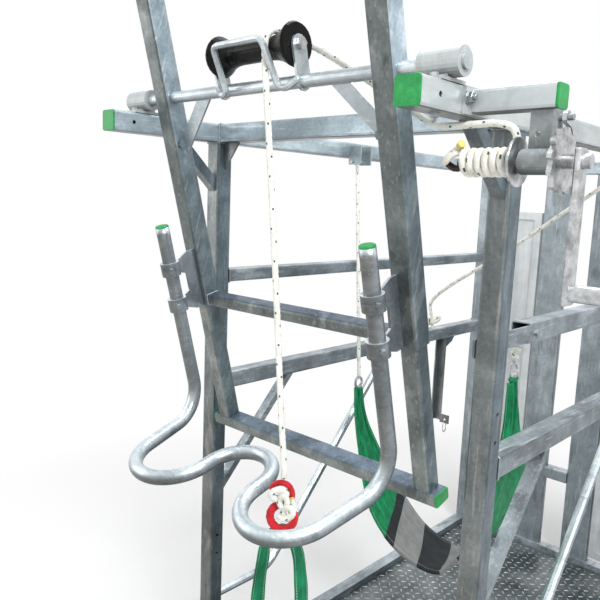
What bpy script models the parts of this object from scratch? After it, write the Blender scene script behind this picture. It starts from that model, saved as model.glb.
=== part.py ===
# Hoof trimming crate for cattle: galvanised tube crate with a hinged rear gantry,
# a bent leg rest, a rope roller, a winch, a belly belt and a two-leaf head gate.
# Metres, +Z up, +Y towards the animal's head, +X to its right.
# The origin is under the middle of the rear sill tube, on the ground.

import math

import bmesh
import bpy
from mathutils import Matrix, Vector

for old in list(bpy.data.objects):
    bpy.data.objects.remove(old, do_unlink=True)

# Fits
GAP = 0.0003
SLIDE_FIT = 0.0004

# Crate tubes
TUBE = 0.050
TUBE_WALL = 0.003
TUBE_ROUND = 0.006
HALF_WIDTH = 0.440
FRONT_Y = 1.600
RAIL_Z = 1.723
RAIL_OVERHANG = 0.328
CAP_FLANGE = 0.004
CAP_PLUG = 0.014
MID_RAIL_TOP = 1.339
MID_RAIL_HIGH = 0.038
LOW_RAIL_TOP = 1.026
TWIN_RAIL_Z = 1.258
TWIN_RAIL_HIGH = 0.050
TWIN_RAIL_START = 0.240
RAIL_HOLE_R = 0.005
RAIL_HOLE_BACK = 0.055
POST_HOLES = {"left": (0.455, 0.515), "right": (1.064, 1.125)}

# Floor
FLOOR_SHEET = 0.004
BEARER_HIGH = 0.022
BEARER_WIDE = 0.060
BEARER_COUNT = 4

# Side bracing
BRACE_WIDE = 0.030
BRACE_DEEP = 0.020
STAY_SQUARE = 0.028
BRACE_LOW = 0.680
BRACE_RUN = 0.272
STRUT_LOW = 1.600
STRUT_RUN = 0.105
GUSSET = 0.075
GUSSET_THICK = 0.005
GUARD_R = 0.0135
GUARD_LOW = 0.300
GUARD_TURN_Y = 0.245
GUARD_TOP_Y = 0.900
GUARD_BEND_R = 0.110

# Rear gantry: hung on a round shaft in two sleeves, drawn upright and then leaned
LEAN = math.radians(14.6)
SHAFT_Y = -0.255
SHAFT_Z = 1.780
SHAFT_R = 0.01345
SLEEVE_R = 0.0250
SLEEVE_LONG = 0.080
SLEEVE_FOOT = 0.006
UPRIGHT_X = 0.330
UPRIGHT_WALL = 0.0035
UPRIGHT_UP = 0.560
UPRIGHT_DOWN = 0.532
CROSS_HIGH = 0.030
CROSS_DEEP = 0.040
STAY_TOP_X = 0.197
STAY_DROP = 0.110
STAY_WIDE = 0.048
STAY_THICK = 0.006

# Lower frame, telescoping in the uprights
LEG_REACH = 0.150
LOWER_BAR_DROP = 0.8875
LOWER_BAR_HIGH = 0.030
LOWER_BAR_DEEP = 0.050
LOWER_BAR_HALF = 0.366

# Bent leg rest
PIPE_R = 0.01685
PIPE_WALL = 0.0026
REST_X = 0.320
REST_BACK = 0.1025
REST_TOP = 0.298
REST_DROP = 0.805
REST_BEND_R = 0.0875
LOBE_X = 0.188
LOBE_BACK = 0.275
LOBE_R = 0.103
CREST_BACK = 0.260
CREST_R = 0.085
COLLAR_R = 0.0240
COLLAR_HIGH = 0.034
COLLAR_DROPS = (0.405, 0.500)
COLLAR_PLATE = 0.006

# Rope roller on the shaft
ROLLER_LIFT = 0.070
ROLLER_HALF = 0.118
ROLLER_FLANGE_R = 0.044
ROLLER_CORE_R = 0.023
AXLE_R = 0.008
CHEEK_THICK = 0.005
CHEEK_R = 0.019
KEEPER_R = 0.007

# Rope and winch
ROPE_R = 0.0065
ROLLER_RISE = 0.0030
KNOT = (0.168, -0.318, 0.983)
KNOT_HIGH = 0.104
KNOT_HALF = (0.036, 0.027)
STRAP_THICK = 0.004
WINCH_Y = -0.220
WINCH_Z = 1.620
CORE_R = 0.0115
WIND_RIGHT_X = 0.5535
WIND_TURNS = 5.75
WIND_PITCH = 0.0136
WIND_STEPS = 24
WIND_LEAD = 0.003
DRUM_FLANGE_R = 0.040
DRUM_FLANGE_X = 0.565
HOUSING_R = 0.0205
HOUSING_X = (0.575, 0.630)
ARM_TUBE = 0.040
ARM_Y = -0.190
ARM_END = 0.616
HANGER_X = 0.5935
HANGER_WIDE = 0.040
HANGER_THICK = 0.005
RATCHET_X = 0.640
RATCHET_THICK = 0.008
RATCHET_R = 0.052
RATCHET_ROOT = 0.044
RATCHET_TEETH = 12
PAWL_PIN_R = 0.005
PAWL_LIFT = 0.066
CRANK_X = 0.668
CRANK_LONG = 0.200
CRANK_THICK = 0.010
GRIP_R = 0.014
GRIP_LONG = 0.105

# Head gate
GATE_LOW = 0.075
GATE_TOP = 1.533
GATE_THICK = 0.028
GATE_SHEET = 0.003
GATE_RIM = 0.030
HINGE_X = 0.398
GATE_INNER_X = 0.170
HINGE_PIN_R = 0.006
HINGE_BARREL_R = 0.011
HINGE_BARREL = 0.050
HINGE_HEIGHTS = (0.300, 1.340)
NECK_INNER_X = 0.047
NECK_OUTER_X = 0.163
NECK_THICK = 0.030
NECK_BAR_TOP = 0.420

# Belly belt and its ropes
BELT_THICK = 0.008
BELT_WIDE = 0.200
BELT_ENDS_WIDE = 0.040
BELT_LENGTHWISE = 40
BELT_ACROSS = 6
BELT_ROUTE = (
    (-0.346, 0.580, 0.890), (-0.334, 0.580, 0.800), (-0.290, 0.580, 0.690), (-0.205, 0.577, 0.540),
    (-0.120, 0.570, 0.460), (-0.010, 0.560, 0.420), (0.100, 0.540, 0.438), (0.200, 0.500, 0.550),
    (0.290, 0.450, 0.735), (0.335, 0.360, 0.920), (0.366, 0.276, 1.130),
)
HANGER_PIN = (-0.400, 0.580, 1.684)
HANGER_PIN_R = 0.006
CHANNEL_DEEP = 0.050
CHANNEL_ALONG = 0.060
CHANNEL_SHEET = 0.005
RING_R = 0.018
RING_WIRE = 0.005

# Holder bar that hangs from the left low rail, with its wire loop
HOLDER_Y = 1.280
HOLDER_LEG = 0.034
HOLDER_SHEET = 0.005
HOLDER_LOW = 0.600
HOLDER_HOLE_R = 0.007
HOLDER_HOLE_OUT = 0.022
LOOP_R = 0.013
LOOP_WIRE = 0.0025
LOOP_STRETCH = 1.9

root = bpy.data.collections.new("hoof_trimming_crate")
bpy.context.scene.collection.children.link(root)
cutters = bpy.data.collections.new("cutters")
bpy.context.scene.collection.children.link(cutters)

gantry = bpy.data.objects.new("gantry_axis", None)
root.objects.link(gantry)
gantry.location = (0.0, SHAFT_Y, SHAFT_Z)
gantry.rotation_euler = (LEAN, 0.0, 0.0)


def finish(name, colour, roughness, metallic):
    made = bpy.data.materials.new(name)
    made.use_nodes = True
    shader = made.node_tree.nodes["Principled BSDF"]
    shader.inputs["Base Color"].default_value = (*colour, 1.0)
    shader.inputs["Roughness"].default_value = roughness
    shader.inputs["Metallic"].default_value = metallic
    return made


FINISHES = {
    "zinc": ((0.56, 0.58, 0.60), 0.42, 0.9),
    "green_plastic": ((0.02, 0.36, 0.10), 0.45, 0.0),
    "black_rubber": ((0.015, 0.015, 0.018), 0.35, 0.0),
    "white_rope": ((0.80, 0.79, 0.72), 0.85, 0.0),
    "red_rope": ((0.70, 0.03, 0.04), 0.60, 0.0),
    "green_webbing": ((0.01, 0.33, 0.14), 0.75, 0.0),
    "grey_belt": ((0.33, 0.34, 0.35), 0.85, 0.0),
    "bright_steel": ((0.70, 0.70, 0.70), 0.25, 1.0),
}


def add(name, mesh, surface, parent=None, location=(0, 0, 0), rotation=(0, 0, 0)):
    piece = bpy.data.objects.new(name, mesh)
    root.objects.link(piece)
    colour, roughness, metallic = FINISHES[surface]
    mesh.materials.clear()
    mesh.materials.append(finish(name + "_finish", colour, roughness, metallic))
    piece.parent = parent
    piece.location = location
    piece.rotation_euler = rotation
    return piece


def hide_as_cutter(piece):
    for home in list(piece.users_collection):
        home.objects.unlink(piece)
    cutters.objects.link(piece)
    piece.hide_render = True
    piece.display_type = "WIRE"
    return piece


def combine(piece, other, operation):
    hide_as_cutter(other)
    step = piece.modifiers.new(operation.lower() + "_" + other.name, "BOOLEAN")
    step.operation = operation
    step.solver = "EXACT"
    step.object = other
    return piece


def to_mesh(bm, name, closed=True):
    mesh = bpy.data.meshes.new(name)
    if closed:
        bmesh.ops.recalc_face_normals(bm, faces=bm.faces)
    bm.to_mesh(mesh)
    bm.free()
    return mesh


def block_mesh(name, size, centre=(0, 0, 0), rounding=0.0, segments=1):
    bm = bmesh.new()
    bmesh.ops.create_cube(bm, size=1.0)
    bmesh.ops.scale(bm, vec=size, verts=bm.verts)
    if rounding > 0.0:
        bmesh.ops.bevel(bm, geom=bm.edges[:], offset=rounding, segments=segments, profile=0.5,
                        affect="EDGES", material=-1)
    bmesh.ops.translate(bm, vec=centre, verts=bm.verts)
    return to_mesh(bm, name)


def block(name, size, surface, parent=None, location=(0, 0, 0), rotation=(0, 0, 0), rounding=0.0):
    return add(name, block_mesh(name, size, rounding=rounding), surface, parent, location, rotation)


def tube_mesh(name, wide, deep, length, hollow=True):
    # The open sides of a box along its local Z, long edges rounded; Solidify gives the wall
    bm = bmesh.new()
    bmesh.ops.create_cube(bm, size=1.0)
    bmesh.ops.scale(bm, vec=(wide, deep, length), verts=bm.verts)
    long_edges = [e for e in bm.edges if abs(e.verts[0].co.z - e.verts[1].co.z) > length * 0.9]
    bmesh.ops.bevel(bm, geom=long_edges, offset=TUBE_ROUND, segments=2, profile=0.5,
                    affect="EDGES", material=-1)
    if hollow:
        ends = [f for f in bm.faces if abs(f.normal.z) > 0.9]
        bmesh.ops.delete(bm, geom=ends, context="FACES_ONLY")
    return to_mesh(bm, name, closed=False)


def tube(name, wide, deep, length, surface="zinc", parent=None, location=(0, 0, 0), rotation=(0, 0, 0),
         wall=TUBE_WALL, hollow=True):
    piece = add(name, tube_mesh(name, wide, deep, length, hollow), surface, parent, location, rotation)
    if hollow:
        shell = piece.modifiers.new("wall", "SOLIDIFY")
        shell.thickness = wall
        shell.offset = -1.0
        shell.use_even_offset = True
    return piece


ALONG_X = (0.0, math.pi / 2, 0.0)
ALONG_Y = (-math.pi / 2, 0.0, 0.0)


def tube_along_y(name, x, z, start, end, wide=TUBE, high=TUBE, **options):
    return tube(name, wide, high, end - start, location=(x, (start + end) / 2, z), rotation=ALONG_Y, **options)


def tube_along_x(name, y, z, start, end, high=TUBE, deep=TUBE, **options):
    return tube(name, high, deep, end - start, location=((start + end) / 2, y, z), rotation=ALONG_X, **options)


def round_bar(name, radius, length, surface, parent=None, location=(0, 0, 0), rotation=ALONG_X, sides=24):
    bm = bmesh.new()
    bmesh.ops.create_cone(bm, cap_ends=True, segments=sides, radius1=radius, radius2=radius, depth=length)
    mesh = to_mesh(bm, name)
    mesh.shade_smooth()
    mesh.set_sharp_from_angle(angle=math.radians(40))
    return add(name, mesh, surface, parent, location, rotation)


def outline(name, points, thickness, surface, parent=None, location=(0, 0, 0), rotation=(0, 0, 0)):
    # A flat plate: its outline in local XY, its thickness half to each side
    bm = bmesh.new()
    face = bm.faces.new([bm.verts.new((x, y, -thickness / 2)) for x, y in points])
    grown = bmesh.ops.extrude_face_region(bm, geom=[face])
    risen = [v for v in grown["geom"] if isinstance(v, bmesh.types.BMVert)]
    bmesh.ops.translate(bm, vec=(0, 0, thickness), verts=risen)
    return add(name, to_mesh(bm, name), surface, parent, location, rotation)


def turned(name, profile, surface, parent=None, location=(0, 0, 0), steps=32):
    # A closed profile of (along X, radius) points, turned about the local X axis
    bm = bmesh.new()
    ring = [bm.verts.new((x, 0.0, r)) for x, r in profile]
    sides = [(ring[i], ring[(i + 1) % len(ring)]) for i in range(len(ring))]
    edges = [bm.edges.new(pair) for pair in sides if pair[0].co.z + pair[1].co.z > 0.0]
    bmesh.ops.spin(bm, geom=ring + edges, cent=(0, 0, 0), axis=(1, 0, 0), angle=2 * math.pi, steps=steps,
                   use_merge=True)
    bmesh.ops.remove_doubles(bm, verts=bm.verts, dist=0.00001)
    mesh = to_mesh(bm, name)
    mesh.shade_smooth()
    mesh.set_sharp_from_angle(angle=math.radians(40))
    return add(name, mesh, surface, parent, location)


def swept(name, points, radius, surface, parent=None, sides_step=3):
    # A round bar or rope along a chosen route, made a mesh with its end caps welded
    curve = bpy.data.curves.new(name, "CURVE")
    curve.dimensions = "3D"
    curve.bevel_depth = radius
    curve.bevel_resolution = sides_step
    curve.use_fill_caps = True
    line = curve.splines.new("POLY")
    line.points.add(len(points) - 1)
    for knot, point in zip(line.points, points):
        knot.co = (*point, 1.0)
    route = bpy.data.objects.new(name + "_route", curve)
    root.objects.link(route)
    bpy.context.view_layer.update()
    graph = bpy.context.evaluated_depsgraph_get()
    mesh = bpy.data.meshes.new_from_object(route.evaluated_get(graph))
    bm = bmesh.new()
    bm.from_mesh(mesh)
    bmesh.ops.remove_doubles(bm, verts=bm.verts, dist=0.00001)
    bm.to_mesh(mesh)
    bm.free()
    mesh.name = name
    mesh.shade_smooth()
    mesh.set_sharp_from_angle(angle=math.radians(50))
    bpy.data.objects.remove(route, do_unlink=True)
    return add(name, mesh, surface, parent)


def smooth_route(points, spacing):
    # A Catmull-Rom curve through the chosen points, read off at an even spacing
    knots = [Vector(p) for p in points]
    knots = [2 * knots[0] - knots[1]] + knots + [2 * knots[-1] - knots[-2]]
    fine = []
    for a, b, c, d in zip(knots, knots[1:], knots[2:], knots[3:]):
        for step in range(20):
            t = step / 20
            fine.append(0.5 * (2 * b + (c - a) * t + (2 * a - 5 * b + 4 * c - d) * t * t
                               + (3 * b - a - 3 * c + d) * t ** 3))
    fine.append(knots[-2])
    total = sum((q - p).length for p, q in zip(fine, fine[1:]))
    count = max(2, round(total / spacing))
    even = [fine[0]]
    walked = 0.0
    for p, q in zip(fine, fine[1:]):
        reach = (q - p).length
        while len(even) < count and walked + reach >= total * len(even) / count:
            even.append(p.lerp(q, (total * len(even) / count - walked) / reach))
        walked += reach
    even.append(fine[-1])
    return even


def rope_route(points, spacing):
    # A smooth rope whose first and last stretches run straight, square to what they meet
    return [Vector(points[0])] + smooth_route(points[1:-1], spacing) + [Vector(points[-1])]


def filleted(points, radius, steps=6):
    # Straight runs joined by arcs of one radius
    corners = [Vector(p) for p in points]
    route = [corners[0]]
    for before, corner, after in zip(corners, corners[1:], corners[2:]):
        back = (before - corner).normalized()
        ahead = (after - corner).normalized()
        half = back.angle(ahead) / 2
        centre = corner + (back + ahead).normalized() * radius / math.sin(half)
        start = corner + back * radius / math.tan(half) - centre
        stop = corner + ahead * radius / math.tan(half) - centre
        for step in range(steps + 1):
            route.append(centre + start.normalized().slerp(stop.normalized(), step / steps) * radius)
    route.append(corners[-1])
    return route


def end_cap(name, wide, high, wall, parent, location, rotation):
    # A push-in plug: a flange over the tube's end and a stub inside it, along local -Z
    bm = bmesh.new()
    bmesh.ops.create_cube(bm, size=1.0)
    bmesh.ops.scale(bm, vec=(wide, high, CAP_FLANGE), verts=bm.verts)
    bmesh.ops.translate(bm, vec=(0, 0, CAP_FLANGE / 2 + GAP), verts=bm.verts)
    rim = [e for e in bm.edges if e.verts[0].co.z > CAP_FLANGE / 2 and e.verts[1].co.z > CAP_FLANGE / 2]
    corners = [e for e in bm.edges if abs(e.verts[0].co.z - e.verts[1].co.z) > CAP_FLANGE / 2]
    bmesh.ops.bevel(bm, geom=corners, offset=TUBE_ROUND, segments=2, profile=0.5, affect="EDGES", material=-1)
    rim = [e for e in bm.edges if min(e.verts[0].co.z, e.verts[1].co.z) > CAP_FLANGE * 0.9]
    bmesh.ops.bevel(bm, geom=rim, offset=0.0012, segments=2, profile=0.5, affect="EDGES", material=-1)
    base = [f for f in bm.faces if f.normal.z < -0.9]
    bmesh.ops.inset_region(bm, faces=base, thickness=wall + SLIDE_FIT, use_even_offset=True)
    grown = bmesh.ops.extrude_face_region(bm, geom=base)
    risen = [v for v in grown["geom"] if isinstance(v, bmesh.types.BMVert)]
    bmesh.ops.translate(bm, vec=(0, 0, -CAP_PLUG), verts=risen)
    bmesh.ops.delete(bm, geom=base, context="FACES_ONLY")
    return add(name, to_mesh(bm, name), "green_plastic", parent, location, rotation)


def hex_head(name, radius, height, parent, location, rotation):
    return round_bar(name, radius, height, "zinc", parent, location, rotation, sides=6)


post_top = RAIL_Z - TUBE / 2 - GAP
inner_x = HALF_WIDTH - TUBE / 2
front_end = FRONT_Y + TUBE / 2
low_rail_z = LOW_RAIL_TOP - TUBE / 2
low_rail_bottom = LOW_RAIL_TOP - TUBE


def rear_posts():
    # Post with its welded stay under the overhanging side rail and its corner gusset
    for side, word in ((-1, "left"), (1, "right")):
        name = "rear_post_" + word
        x = side * HALF_WIDTH
        length = post_top - TUBE - GAP
        post = tube(name, TUBE, TUBE, length, location=(x, 0.0, TUBE + GAP + length / 2))
        back = -TUBE / 2 + 0.001
        rise = STAY_SQUARE / math.sin(math.atan2(STRUT_RUN, post_top - STRUT_LOW))
        high = post_top - STRUT_LOW
        stay = outline(name + "_stay", [(back, STRUT_LOW), (back, STRUT_LOW - rise),
                                        (back - STRUT_RUN * (high + rise) / high, post_top),
                                        (back - STRUT_RUN, post_top)],
                       STAY_SQUARE, "zinc", location=(x, 0, 0), rotation=(math.pi / 2, 0, math.pi / 2))
        combine(post, stay, "UNION")
        edge = side * (inner_x + 0.001)
        corner = outline(name + "_gusset", [(edge, post_top), (edge, post_top - GUSSET),
                                            (edge - side * GUSSET * 0.8, post_top)],
                         GUSSET_THICK, "zinc", rotation=(math.pi / 2, 0, 0))
        combine(post, corner, "UNION")
        for count, height in enumerate(POST_HOLES[word]):
            drill = round_bar("%s_hole_%d" % (name, count), RAIL_HOLE_R, TUBE * 2, "zinc",
                              location=(x, 0.0, height), sides=12)
            combine(post, drill, "DIFFERENCE")


def front_posts():
    # Post with two hinge lugs whose pins carry a gate leaf
    for side, word in ((-1, "left"), (1, "right")):
        name = "front_post_" + word
        length = post_top - TUBE - GAP
        post = tube(name, TUBE, TUBE, length,
                    location=(side * HALF_WIDTH, FRONT_Y, TUBE + GAP + length / 2))
        for count, height in enumerate(HINGE_HEIGHTS):
            reach = inner_x + 0.001 - HINGE_X + HINGE_BARREL_R
            lug = block("%s_lug_%d" % (name, count), (reach, HINGE_BARREL_R * 2, 0.008), "zinc",
                        location=(side * (inner_x + 0.001 - reach / 2), FRONT_Y, height - 0.004))
            combine(post, lug, "UNION")
            pin = round_bar("%s_pin_%d" % (name, count), HINGE_PIN_R, HINGE_BARREL + 0.014, "zinc",
                            location=(side * HINGE_X, FRONT_Y, height + HINGE_BARREL / 2), rotation=(0, 0, 0),
                            sides=16)
            combine(post, pin, "UNION")


def belt_channel(rail):
    # Upright channel on the left rail's inner face, with the pin that the belt's rope hangs on
    x, y, z = HANGER_PIN
    low = z - HANGER_PIN_R - 0.004
    high = RAIL_Z + TUBE / 2 - 2 * TUBE_ROUND - low
    middle = low + high / 2
    web = block("belt_channel_web", (CHANNEL_SHEET, CHANNEL_ALONG - CHANNEL_SHEET, high - 0.002), "zinc",
                location=(-inner_x + CHANNEL_SHEET / 2 - 0.0005, y, middle))
    combine(rail, web, "UNION")
    for word, side in (("rear", -1), ("front", 1)):
        cheek = block("belt_channel_" + word, (CHANNEL_DEEP + 0.001, CHANNEL_SHEET, high), "zinc",
                      location=(-inner_x + (CHANNEL_DEEP - 0.001) / 2,
                                y + side * (CHANNEL_ALONG - CHANNEL_SHEET) / 2, middle))
        combine(rail, cheek, "UNION")
    pin = round_bar("belt_channel_pin", HANGER_PIN_R, CHANNEL_ALONG + 0.012, "zinc", location=(x, y, z),
                    rotation=(math.pi / 2, 0, 0), sides=16)
    combine(rail, pin, "UNION")


def rails():
    start = -RAIL_OVERHANG - TUBE / 2
    for side, word in ((-1, "left"), (1, "right")):
        rail = tube_along_y("side_rail_" + word, side * HALF_WIDTH, RAIL_Z, start, front_end)
        drill = round_bar("rail_hole_" + word, RAIL_HOLE_R, TUBE * 2, "zinc",
                          location=(side * HALF_WIDTH, start + RAIL_HOLE_BACK, RAIL_Z), sides=12)
        combine(rail, drill, "DIFFERENCE")
        if side < 0:
            belt_channel(rail)
        end_cap("rail_cap_" + word, TUBE, TUBE, TUBE_WALL, None, (side * HALF_WIDTH, start, RAIL_Z),
                (math.pi / 2, 0, 0))
        tube_along_y("low_rail_" + word, side * HALF_WIDTH, low_rail_z, TUBE / 2 + GAP,
                     FRONT_Y - TUBE / 2 - GAP)
    tube_along_y("mid_rail_left", -HALF_WIDTH, MID_RAIL_TOP - MID_RAIL_HIGH / 2, TUBE / 2 + GAP,
                 FRONT_Y - TUBE / 2 - GAP, wide=TUBE, high=MID_RAIL_HIGH)
    for name, y in (("rear_cross_tube", 0.0), ("front_cross_tube", FRONT_Y)):
        tube_along_x(name, y, RAIL_Z, -inner_x + GAP, inner_x - GAP)


def twin_rail():
    # Right middle rail: two flat tubes stacked as one, open at the rear, on a post bracket
    end = FRONT_Y - TUBE / 2 - GAP
    rail = tube_along_y("mid_rail_right", inner_x - TUBE / 2 - GAP, TWIN_RAIL_Z, TWIN_RAIL_START, end,
                        high=TWIN_RAIL_HIGH)
    web = block("mid_rail_web", (TUBE - TUBE_WALL, end - TWIN_RAIL_START, TUBE_WALL), "zinc",
                location=(inner_x - TUBE / 2 - GAP, (TWIN_RAIL_START + end) / 2, TWIN_RAIL_Z))
    combine(rail, web, "UNION")
    foot = block("mid_rail_foot", (0.006, 0.060, 0.080), "zinc",
                 location=(inner_x - 0.003 - GAP, end - 0.030, TWIN_RAIL_Z))
    combine(rail, foot, "UNION")
    # The rear bracket runs back from the rail's outer wall to the rear post's inner face
    arm = block("mid_rail_arm", (0.005, TWIN_RAIL_START + 0.045, TWIN_RAIL_HIGH * 0.8), "zinc",
                location=(inner_x - 0.0025 - GAP, (TWIN_RAIL_START - 0.005) / 2, TWIN_RAIL_Z))
    combine(rail, arm, "UNION")
    bolt = hex_head("mid_rail_bolt", 0.0095, 0.007, None,
                    (inner_x - GAP + 0.003, TWIN_RAIL_START + 0.030, TWIN_RAIL_Z), ALONG_X)
    combine(rail, bolt, "UNION")


def base():
    # Welded ground frame: a ring of tubes, and bearers under the floor sheet
    wide = 2 * HALF_WIDTH + TUBE
    middle = FRONT_Y / 2
    ring = block("base_frame", (wide, FRONT_Y + TUBE, TUBE), "zinc", location=(0, middle, TUBE / 2),
                 rounding=0.004)
    hole = block("base_hole", (2 * inner_x, FRONT_Y - TUBE, TUBE * 2), "zinc", location=(0, middle, TUBE / 2))
    combine(ring, hole, "DIFFERENCE")
    for count in range(BEARER_COUNT):
        y = FRONT_Y * (count + 0.5) / BEARER_COUNT
        bearer = block("base_bearer_%d" % count, (2 * inner_x + 0.002, BEARER_WIDE, BEARER_HIGH), "zinc",
                       location=(0, y, BEARER_HIGH / 2))
        combine(ring, bearer, "UNION")
    block("floor_plate", (2 * (inner_x - GAP), FRONT_Y - TUBE - 2 * GAP, FLOOR_SHEET), "zinc",
          location=(0, middle, BEARER_HIGH + GAP + FLOOR_SHEET / 2))


def side_bracing():
    front_face = TUBE / 2 + GAP
    top = low_rail_bottom - GAP
    for side, word in ((-1, "left"), (1, "right")):
        x = side * HALF_WIDTH
        rise = BRACE_DEEP / math.sin(math.atan2(BRACE_RUN, top - BRACE_LOW))
        high = top - BRACE_LOW
        outline("side_brace_" + word, [(front_face, BRACE_LOW), (front_face, BRACE_LOW - rise),
                                       (front_face + BRACE_RUN * (high + rise) / high, top),
                                       (front_face + BRACE_RUN, top)],
                BRACE_WIDE, "zinc", location=(x, 0, 0), rotation=(math.pi / 2, 0, math.pi / 2))
        route = filleted([(x, front_face, GUARD_LOW), (x, GUARD_TURN_Y, GUARD_LOW),
                          (x, GUARD_TOP_Y, low_rail_bottom + 0.030)], GUARD_BEND_R)
        guard = swept("kick_guard_" + word, route, GUARD_R, "zinc")
        trim = block("guard_trim_" + word, (0.2, 0.4, 0.2), "zinc", location=(x, GUARD_TOP_Y, top + 0.1))
        combine(guard, trim, "DIFFERENCE")


def shaft_and_sleeves():
    # Round shaft with its two flat stays down to the uprights; bushing sleeves on the side rails
    reach = HALF_WIDTH + SLEEVE_LONG / 2 + 0.005
    shaft = round_bar("gantry_shaft", SHAFT_R, 2 * reach, "zinc", gantry)
    inside = UPRIGHT_X - TUBE / 2 - GAP
    for side, word in ((-1, "left"), (1, "right")):
        half = STAY_WIDE / 2
        stay = outline("shaft_stay_" + word,
                       [(side * (STAY_TOP_X - half), 0.0), (side * (STAY_TOP_X + half), 0.0),
                        (side * inside, -STAY_DROP + half), (side * inside, -STAY_DROP - half)],
                       STAY_THICK, "zinc", gantry, location=(0, 0.0095, 0), rotation=(math.pi / 2, 0, 0))
        combine(shaft, stay, "UNION")
        x = side * HALF_WIDTH
        name = "shaft_sleeve_" + word
        sleeve = round_bar(name, SLEEVE_R, SLEEVE_LONG, "zinc", location=(x, SHAFT_Y, SHAFT_Z))
        rail_top = RAIL_Z + TUBE / 2 + GAP
        drop = SHAFT_Z - rail_top
        foot = block(name + "_foot", (TUBE * 0.9, 0.074, SLEEVE_FOOT), "zinc",
                     location=(x, SHAFT_Y, rail_top + SLEEVE_FOOT / 2))
        combine(sleeve, foot, "UNION")
        web = block(name + "_web", (TUBE * 0.7, 0.030, drop), "zinc",
                    location=(x, SHAFT_Y, rail_top + drop / 2))
        combine(sleeve, web, "UNION")
        for count, shift in enumerate((-0.027, 0.027)):
            head = hex_head("%s_bolt_%d" % (name, count), 0.0075, 0.008, None,
                            (x, SHAFT_Y + shift, rail_top + SLEEVE_FOOT + 0.003), (0, 0, 0))
            combine(sleeve, head, "UNION")
        bore = round_bar(name + "_bore", SHAFT_R + SLIDE_FIT, SLEEVE_LONG * 2, "zinc",
                         location=(x, SHAFT_Y, SHAFT_Z), sides=32)
        combine(sleeve, bore, "DIFFERENCE")


def uprights():
    middle = (UPRIGHT_UP - UPRIGHT_DOWN) / 2
    for side, word in ((-1, "left"), (1, "right")):
        name = "gantry_upright_" + word
        post = tube(name, TUBE, TUBE, UPRIGHT_UP + UPRIGHT_DOWN, parent=gantry, wall=UPRIGHT_WALL,
                    location=(side * UPRIGHT_X, 0, middle))
        bore = round_bar(name + "_bore", SHAFT_R + SLIDE_FIT, TUBE * 2, "zinc", gantry,
                         (side * UPRIGHT_X, 0, 0), sides=32)
        combine(post, bore, "DIFFERENCE")
        bolt = hex_head(name + "_bolt", 0.0095, 0.009, gantry,
                        (side * (UPRIGHT_X - TUBE / 2 - 0.0035), -0.010, -STAY_DROP), ALONG_X)
        combine(post, bolt, "UNION")
    inside = UPRIGHT_X - TUBE / 2 - GAP
    tube("gantry_cross_bar", CROSS_HIGH, CROSS_DEEP, 2 * inside, parent=gantry,
         location=(0, 0, -UPRIGHT_DOWN + CROSS_HIGH / 2), rotation=ALONG_X, wall=0.0025)
    tube("gantry_top_bar", TUBE, TUBE, 2 * UPRIGHT_X + TUBE, parent=gantry,
         location=(0, 0, UPRIGHT_UP + TUBE / 2 + GAP), rotation=ALONG_X)


def lower_frame():
    # A welded U whose legs slide inside the uprights
    leg = TUBE - 2 * UPRIGHT_WALL - 2 * SLIDE_FIT
    bar_top = -LOWER_BAR_DROP + LOWER_BAR_HIGH / 2
    frame = tube("lower_frame", LOWER_BAR_HIGH, LOWER_BAR_DEEP, 2 * LOWER_BAR_HALF, parent=gantry,
                 location=(0, 0, -LOWER_BAR_DROP), rotation=ALONG_X)
    top = -UPRIGHT_DOWN + LEG_REACH
    for side, word in ((-1, "left"), (1, "right")):
        length = top - bar_top + 0.001
        post = tube("lower_leg_" + word, leg, leg, length, parent=gantry,
                    location=(side * UPRIGHT_X, 0, top - length / 2))
        combine(frame, post, "UNION")
        end_cap("lower_cap_" + word, LOWER_BAR_HIGH, LOWER_BAR_DEEP, TUBE_WALL, gantry,
                (side * LOWER_BAR_HALF, 0, -LOWER_BAR_DROP), (0, side * math.pi / 2, 0))


def rest_route():
    # Half the bar: leg, bend, run, outer lobe, half the middle crest; then its mirror
    leg = Vector((REST_X, -REST_BACK, 0))
    lobe = Vector((LOBE_X, -LOBE_BACK, 0))
    inward = lobe - leg
    turn = math.atan2(inward.y, inward.x) + math.asin(LOBE_R / inward.length)
    ahead = Vector((math.cos(turn), math.sin(turn), 0))
    low = -REST_DROP
    half = [Vector((REST_X, -REST_BACK, -REST_TOP)), Vector((REST_X, -REST_BACK, -REST_TOP - 0.20))]
    for step in range(6):
        swing = math.pi / 2 * step / 5
        half.append(leg + ahead * REST_BEND_R * (1 - math.cos(swing))
                    + Vector((0, 0, low + REST_BEND_R * (1 - math.sin(swing)))))
    first = turn + math.pi / 2
    last = -math.pi
    first = first - 2 * math.pi if first > math.pi else first
    for step in range(11):
        angle = first + (last - first) * step / 10
        half.append(lobe + Vector((LOBE_R * math.cos(angle), LOBE_R * math.sin(angle), low)))
    crest = Vector((0, -CREST_BACK, low))
    for step in range(1, 6):
        angle = math.pi / 2 * step / 5
        half.append(crest + Vector((CREST_R * math.cos(angle), CREST_R * math.sin(angle), 0)))
    other = [Vector((-p.x, p.y, p.z)) for p in half[-2::-1]]
    return half + other


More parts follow.
